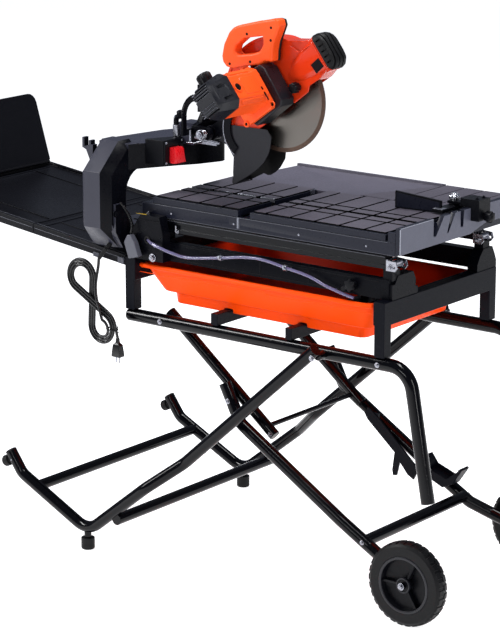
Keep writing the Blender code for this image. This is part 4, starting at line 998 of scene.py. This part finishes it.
# The basin's inner faces (picked by basin_inside) take the darker orange as painted shade.
refined("basin", "basin_plastic", 2.4, 3, other="basin_shaded_inner", where=basin_inside)
piece("basin_bead", [tube([(-334, -211.5, 717.2), (-331, -213.4, 717.2), (343, -213.4, 717.2),
            (346, -211, 717.2)], 5.6, 16), tube([(346.4, -208, 717.2), (346.4, 208, 717.2)], 5, 16)],
    "basin_plastic", "basin_body", smooth=60)
piece("basin_steps",
    [prism([(-337, 700), (-73, 700), (-66, 705), (-60, 705), (-60, 706.6), (-68, 706.6), (-75, 701.6),
            (-337, 701.6)], "Y", -216, -214.6),
        prism([(42, 705), (48, 700), (349, 700), (349, 701.6), (50, 701.6), (42, 706.6), (-60, 706.6),
            (-60, 705)], "Y", -216, -214.6)], "basin_plastic", "basin_body", bevel=0.5)
refined("pump", "black_plastic", 2.0)
for node_name in ("tray_front", "tray_rear"):
    refined(node_name, "tray_plastic", 1.6)
refined("splash_panel", "tray_plastic", 1.4)
TRAY_END, TRAY_SLOPE = (-369.4, 714), 0.124


def on_tray(x, up):
    """A point above the sloping floor of the trays."""
    return (x, TRAY_END[1] + (TRAY_END[0] - x) * TRAY_SLOPE + up)


def tray_bar(x0, x1, y0, y1, z0, z1):
    return prism([on_tray(x0, z0), on_tray(x1, z0), on_tray(x1, z1), on_tray(x0, z1)], "Y", y0, y1)


# Thin grey strips along the trays' near side: painted highlights on the edges of their steps.
piece("tray_highlight_lines", [tray_bar(x0, x1, -231.5, -230.6, 15, 16.2) for x0, x1 in ((-664, -380), (-1026, -672))]
    + [tray_bar(x0, x1, -221.4, -220.6, 25.4, 26.3) for x0, x1 in ((-664, -380), (-1018, -672))],
    "grey_plastic", "stand", bevel=0.2)
piece("tray_ribs", [tray_bar(x0, x1, y, y + 3, 18.8, 20.6) for x0, x1 in ((-650, -400), (-1000, -690))
        for y in (-150, 140)] + [tray_bar(x, x + 4, -205, 205, 18.8, 20.4) for x in (-655, -683, -1008)],
    "tray_plastic", "stand", bevel=0.5)
piece("tray_catch", [tray_bar(-390, -372, -236, -231, 2, 18), tray_bar(-470, -452, -234.5, -231, -3, 8)],
    "grey_plastic", "stand", bevel=1.0)

# ---- stand and legs
RAIL_Y, RAIL_Z = 218.5, 590.7   # the bent rails, and the pivots on them
FOOT_Y, LEVER_Y, WHEEL_Y = 312.5, 177, 210
for node_name, edge in (("stand_front", 2.2), ("stand_rear", 2.2), ("basin_bar_front", 1.0),
        ("basin_bar_rear", 1.0)):
    refined(node_name, "satin_black", edge, 3)
for side, s in (("near", -1), ("far", 1)):
    piece("rail_tube_" + side,
        tube([(-366, s * RAIL_Y, RAIL_Z), (456, s * RAIL_Y, RAIL_Z), (512, s * RAIL_Y, 285)], 16, 28, 60),
        "gloss_black", "stand", bevel=0.8, stands_for=("rail_" + side,))
    piece("rail_cap_" + side, [rod((-368.6, s * RAIL_Y, RAIL_Z), (-365.8, s * RAIL_Y, RAIL_Z), 14.8, 28)],
        "black_plastic", "stand", bevel=0.8)
    refined("foot_" + side, "black_rubber", 1.2)
feet = []
for s in (-1, 1):
    feet += [tube([(227.5, s * 265, 608), (-160, s * 265, 262), (-245, s * FOOT_Y, 193),
                (-430, s * FOOT_Y, 46), (-647, s * FOOT_Y, 153), (-685, s * FOOT_Y, 205)], 14.5, 28,
            [60, 60, 60, 45]), rod((-432, s * FOOT_Y, 30.2), (-432, s * FOOT_Y, 46), 9),
        rod((227.5, s * 235, RAIL_Z), (227.5, s * 258, RAIL_Z), 10)]
feet += [rod((-597, -FOOT_Y, 129), (-597, FOOT_Y, 129), 13.5, 28), rod((-334, -318, 96), (-334, 318, 96), 14,
        28)]
piece("foot_tubes", feet, "gloss_black", "foot_legs", bevel=0.7, stands_for=("foot_frame",))
bumpers = []
for s in (-1, 1):
    at, run = Vector((-672, s * FOOT_Y, 189)), Vector((-0.9, 0, -0.42))
    bumpers += [stood(lathe([(0, 0), (9, 0), (9, 6), (13.5, 7), (14.5, 10), (14.5, 22), (12, 25), (0, 25)],
                n=28), at + run * 12, run),
        stood(lathe([(0, -2), (14.7, -2), (14.7, 1.2), (12, 3), (0, 3)], n=28), (-685, s * FOOT_Y, 205),
            (-38, 0, 52))]
piece("leg_bumpers", bumpers, "black_rubber", "foot_legs", bevel=0.7)
levers = [rod((19.5, -LEVER_Y, 366), (19.5, LEVER_Y, 366), 6)]
for s in (-1, 1):
    levers += [rod((-274, s * LEVER_Y, 603), (46, s * LEVER_Y, 347.5), 13.5, 28),
        rod((-260, s * 186, RAIL_Z), (-260, s * 202, RAIL_Z), 9)]
piece("lever_tubes", levers, "gloss_black", "levers", bevel=0.7, stands_for=("lever_frame",))
legs = [rod((334.6, -210, 155), (334.6, 210, 155), 14, 28)]
for s in (-1, 1):
    legs += [tube([(-80, s * WHEEL_Y, 464), (-33, s * WHEEL_Y, 373), (262, s * WHEEL_Y, 192),
                (349, s * WHEEL_Y, 143), (405, s * 222, 122), (492.8, s * 222, 100.5)], 15, 28,
            [40, 50, 40, 40]), rod((HUB_X, s * 214, HUB_Z), (HUB_X, s * 288, HUB_Z), 7)]
piece("wheel_tubes", legs, "gloss_black", "wheel_legs", bevel=0.7, stands_for=("wheel_frame",))

# ---- wheels
RIM_FACE = 279.6
for side, s in (("near", -1), ("far", 1)):
    body = "wheel_" + side
    carcass = [(68, 242.5), (90, 242.5), (96, 246), (98, 251), (98, 271), (96, 276), (90, RIM_FACE),
        (68, RIM_FACE)]
    blocks = []
    for k in range(30):
        for row, y0, y1, low, high in ((0, 245.5, 260.2, 98.4, 100.2), (1, 262, 276.6, 100.2, 98.4)):
            block = loft([[(-8.5, s * y0, 96), (8.5, s * y0, 96), (7, s * y1, 96), (-7, s * y1, 96)],
                    [(-7, s * (y0 + 1.4), low), (7, s * (y0 + 1.4), low), (6, s * (y1 - 1.2), high),
                        (-6, s * (y1 - 1.2), high)]])
            blocks.append(moved(block, placed(HUB, Y=12 * k + 6 * row)))
    piece("tyre_skin_" + side, [lathe([(r, s * y) for r, y in carcass], "Y", HUB, 96)] + blocks, "tyre_rubber",
        body, bevel=0.5, smooth=30, stands_for=("tyre_" + side,))
    refined("rim_" + side, "black_plastic", 1.2)
    lips = [[(61, -3), (67.4, -3), (67.4, 0.8), (64.5, 1.6), (61, 0.4)], [(15, -2), (19, -2), (18, 2), (15, 2)]]
    piece("rim_lip_" + side, [lathe([(r, s * (RIM_FACE + y)) for r, y in lip], "Y", HUB, n)
            for lip, n in zip(lips, (72, 40))], "dark_plastic", body, bevel=0.6)
    piece("hub_nut_" + side, [stood(hex_bolt(6, 5), (HUB_X, s * 288, HUB_Z), (0, s, 0))], "zinc", "wheel_legs",
        bevel=0.6)

# ---- latch and pedal
refined("latch_lever", "satin_black", 0.7)
refined("foot_pedal", "satin_black", 1.0)
refined("cord_gland", "black_rubber", 1.2)
# x, y, z, radius, body, sides
BOLTS = [(378, 234.5, RAIL_Z, 4.4, "stand", (-1, 1)), (-260, 234.5, RAIL_Z, 4.4, "stand", (-1, 1)),
    (227.5, 279.6, RAIL_Z, 5, "foot_legs", (-1, 1)), (40, 190.5, 352, 4.4, "levers", (-1, 1)),
    (-672, 324.9, 186, 2.6, "foot_legs", (-1,)), (-60, 225, 425, 4.6, "wheel_legs", (-1, 1)),
    (334.6, 224.5, 155, 4, "wheel_legs", (-1, 1))]
for n, (x, y, z, r, body, s) in enumerate((*bolt[:5], s) for bolt in BOLTS for s in bolt[5]):
    piece("bolt_%02d" % n, stood(hex_bolt(r), (x, s * y, z), (0, s, 0)), "zinc", body, bevel=0.4)
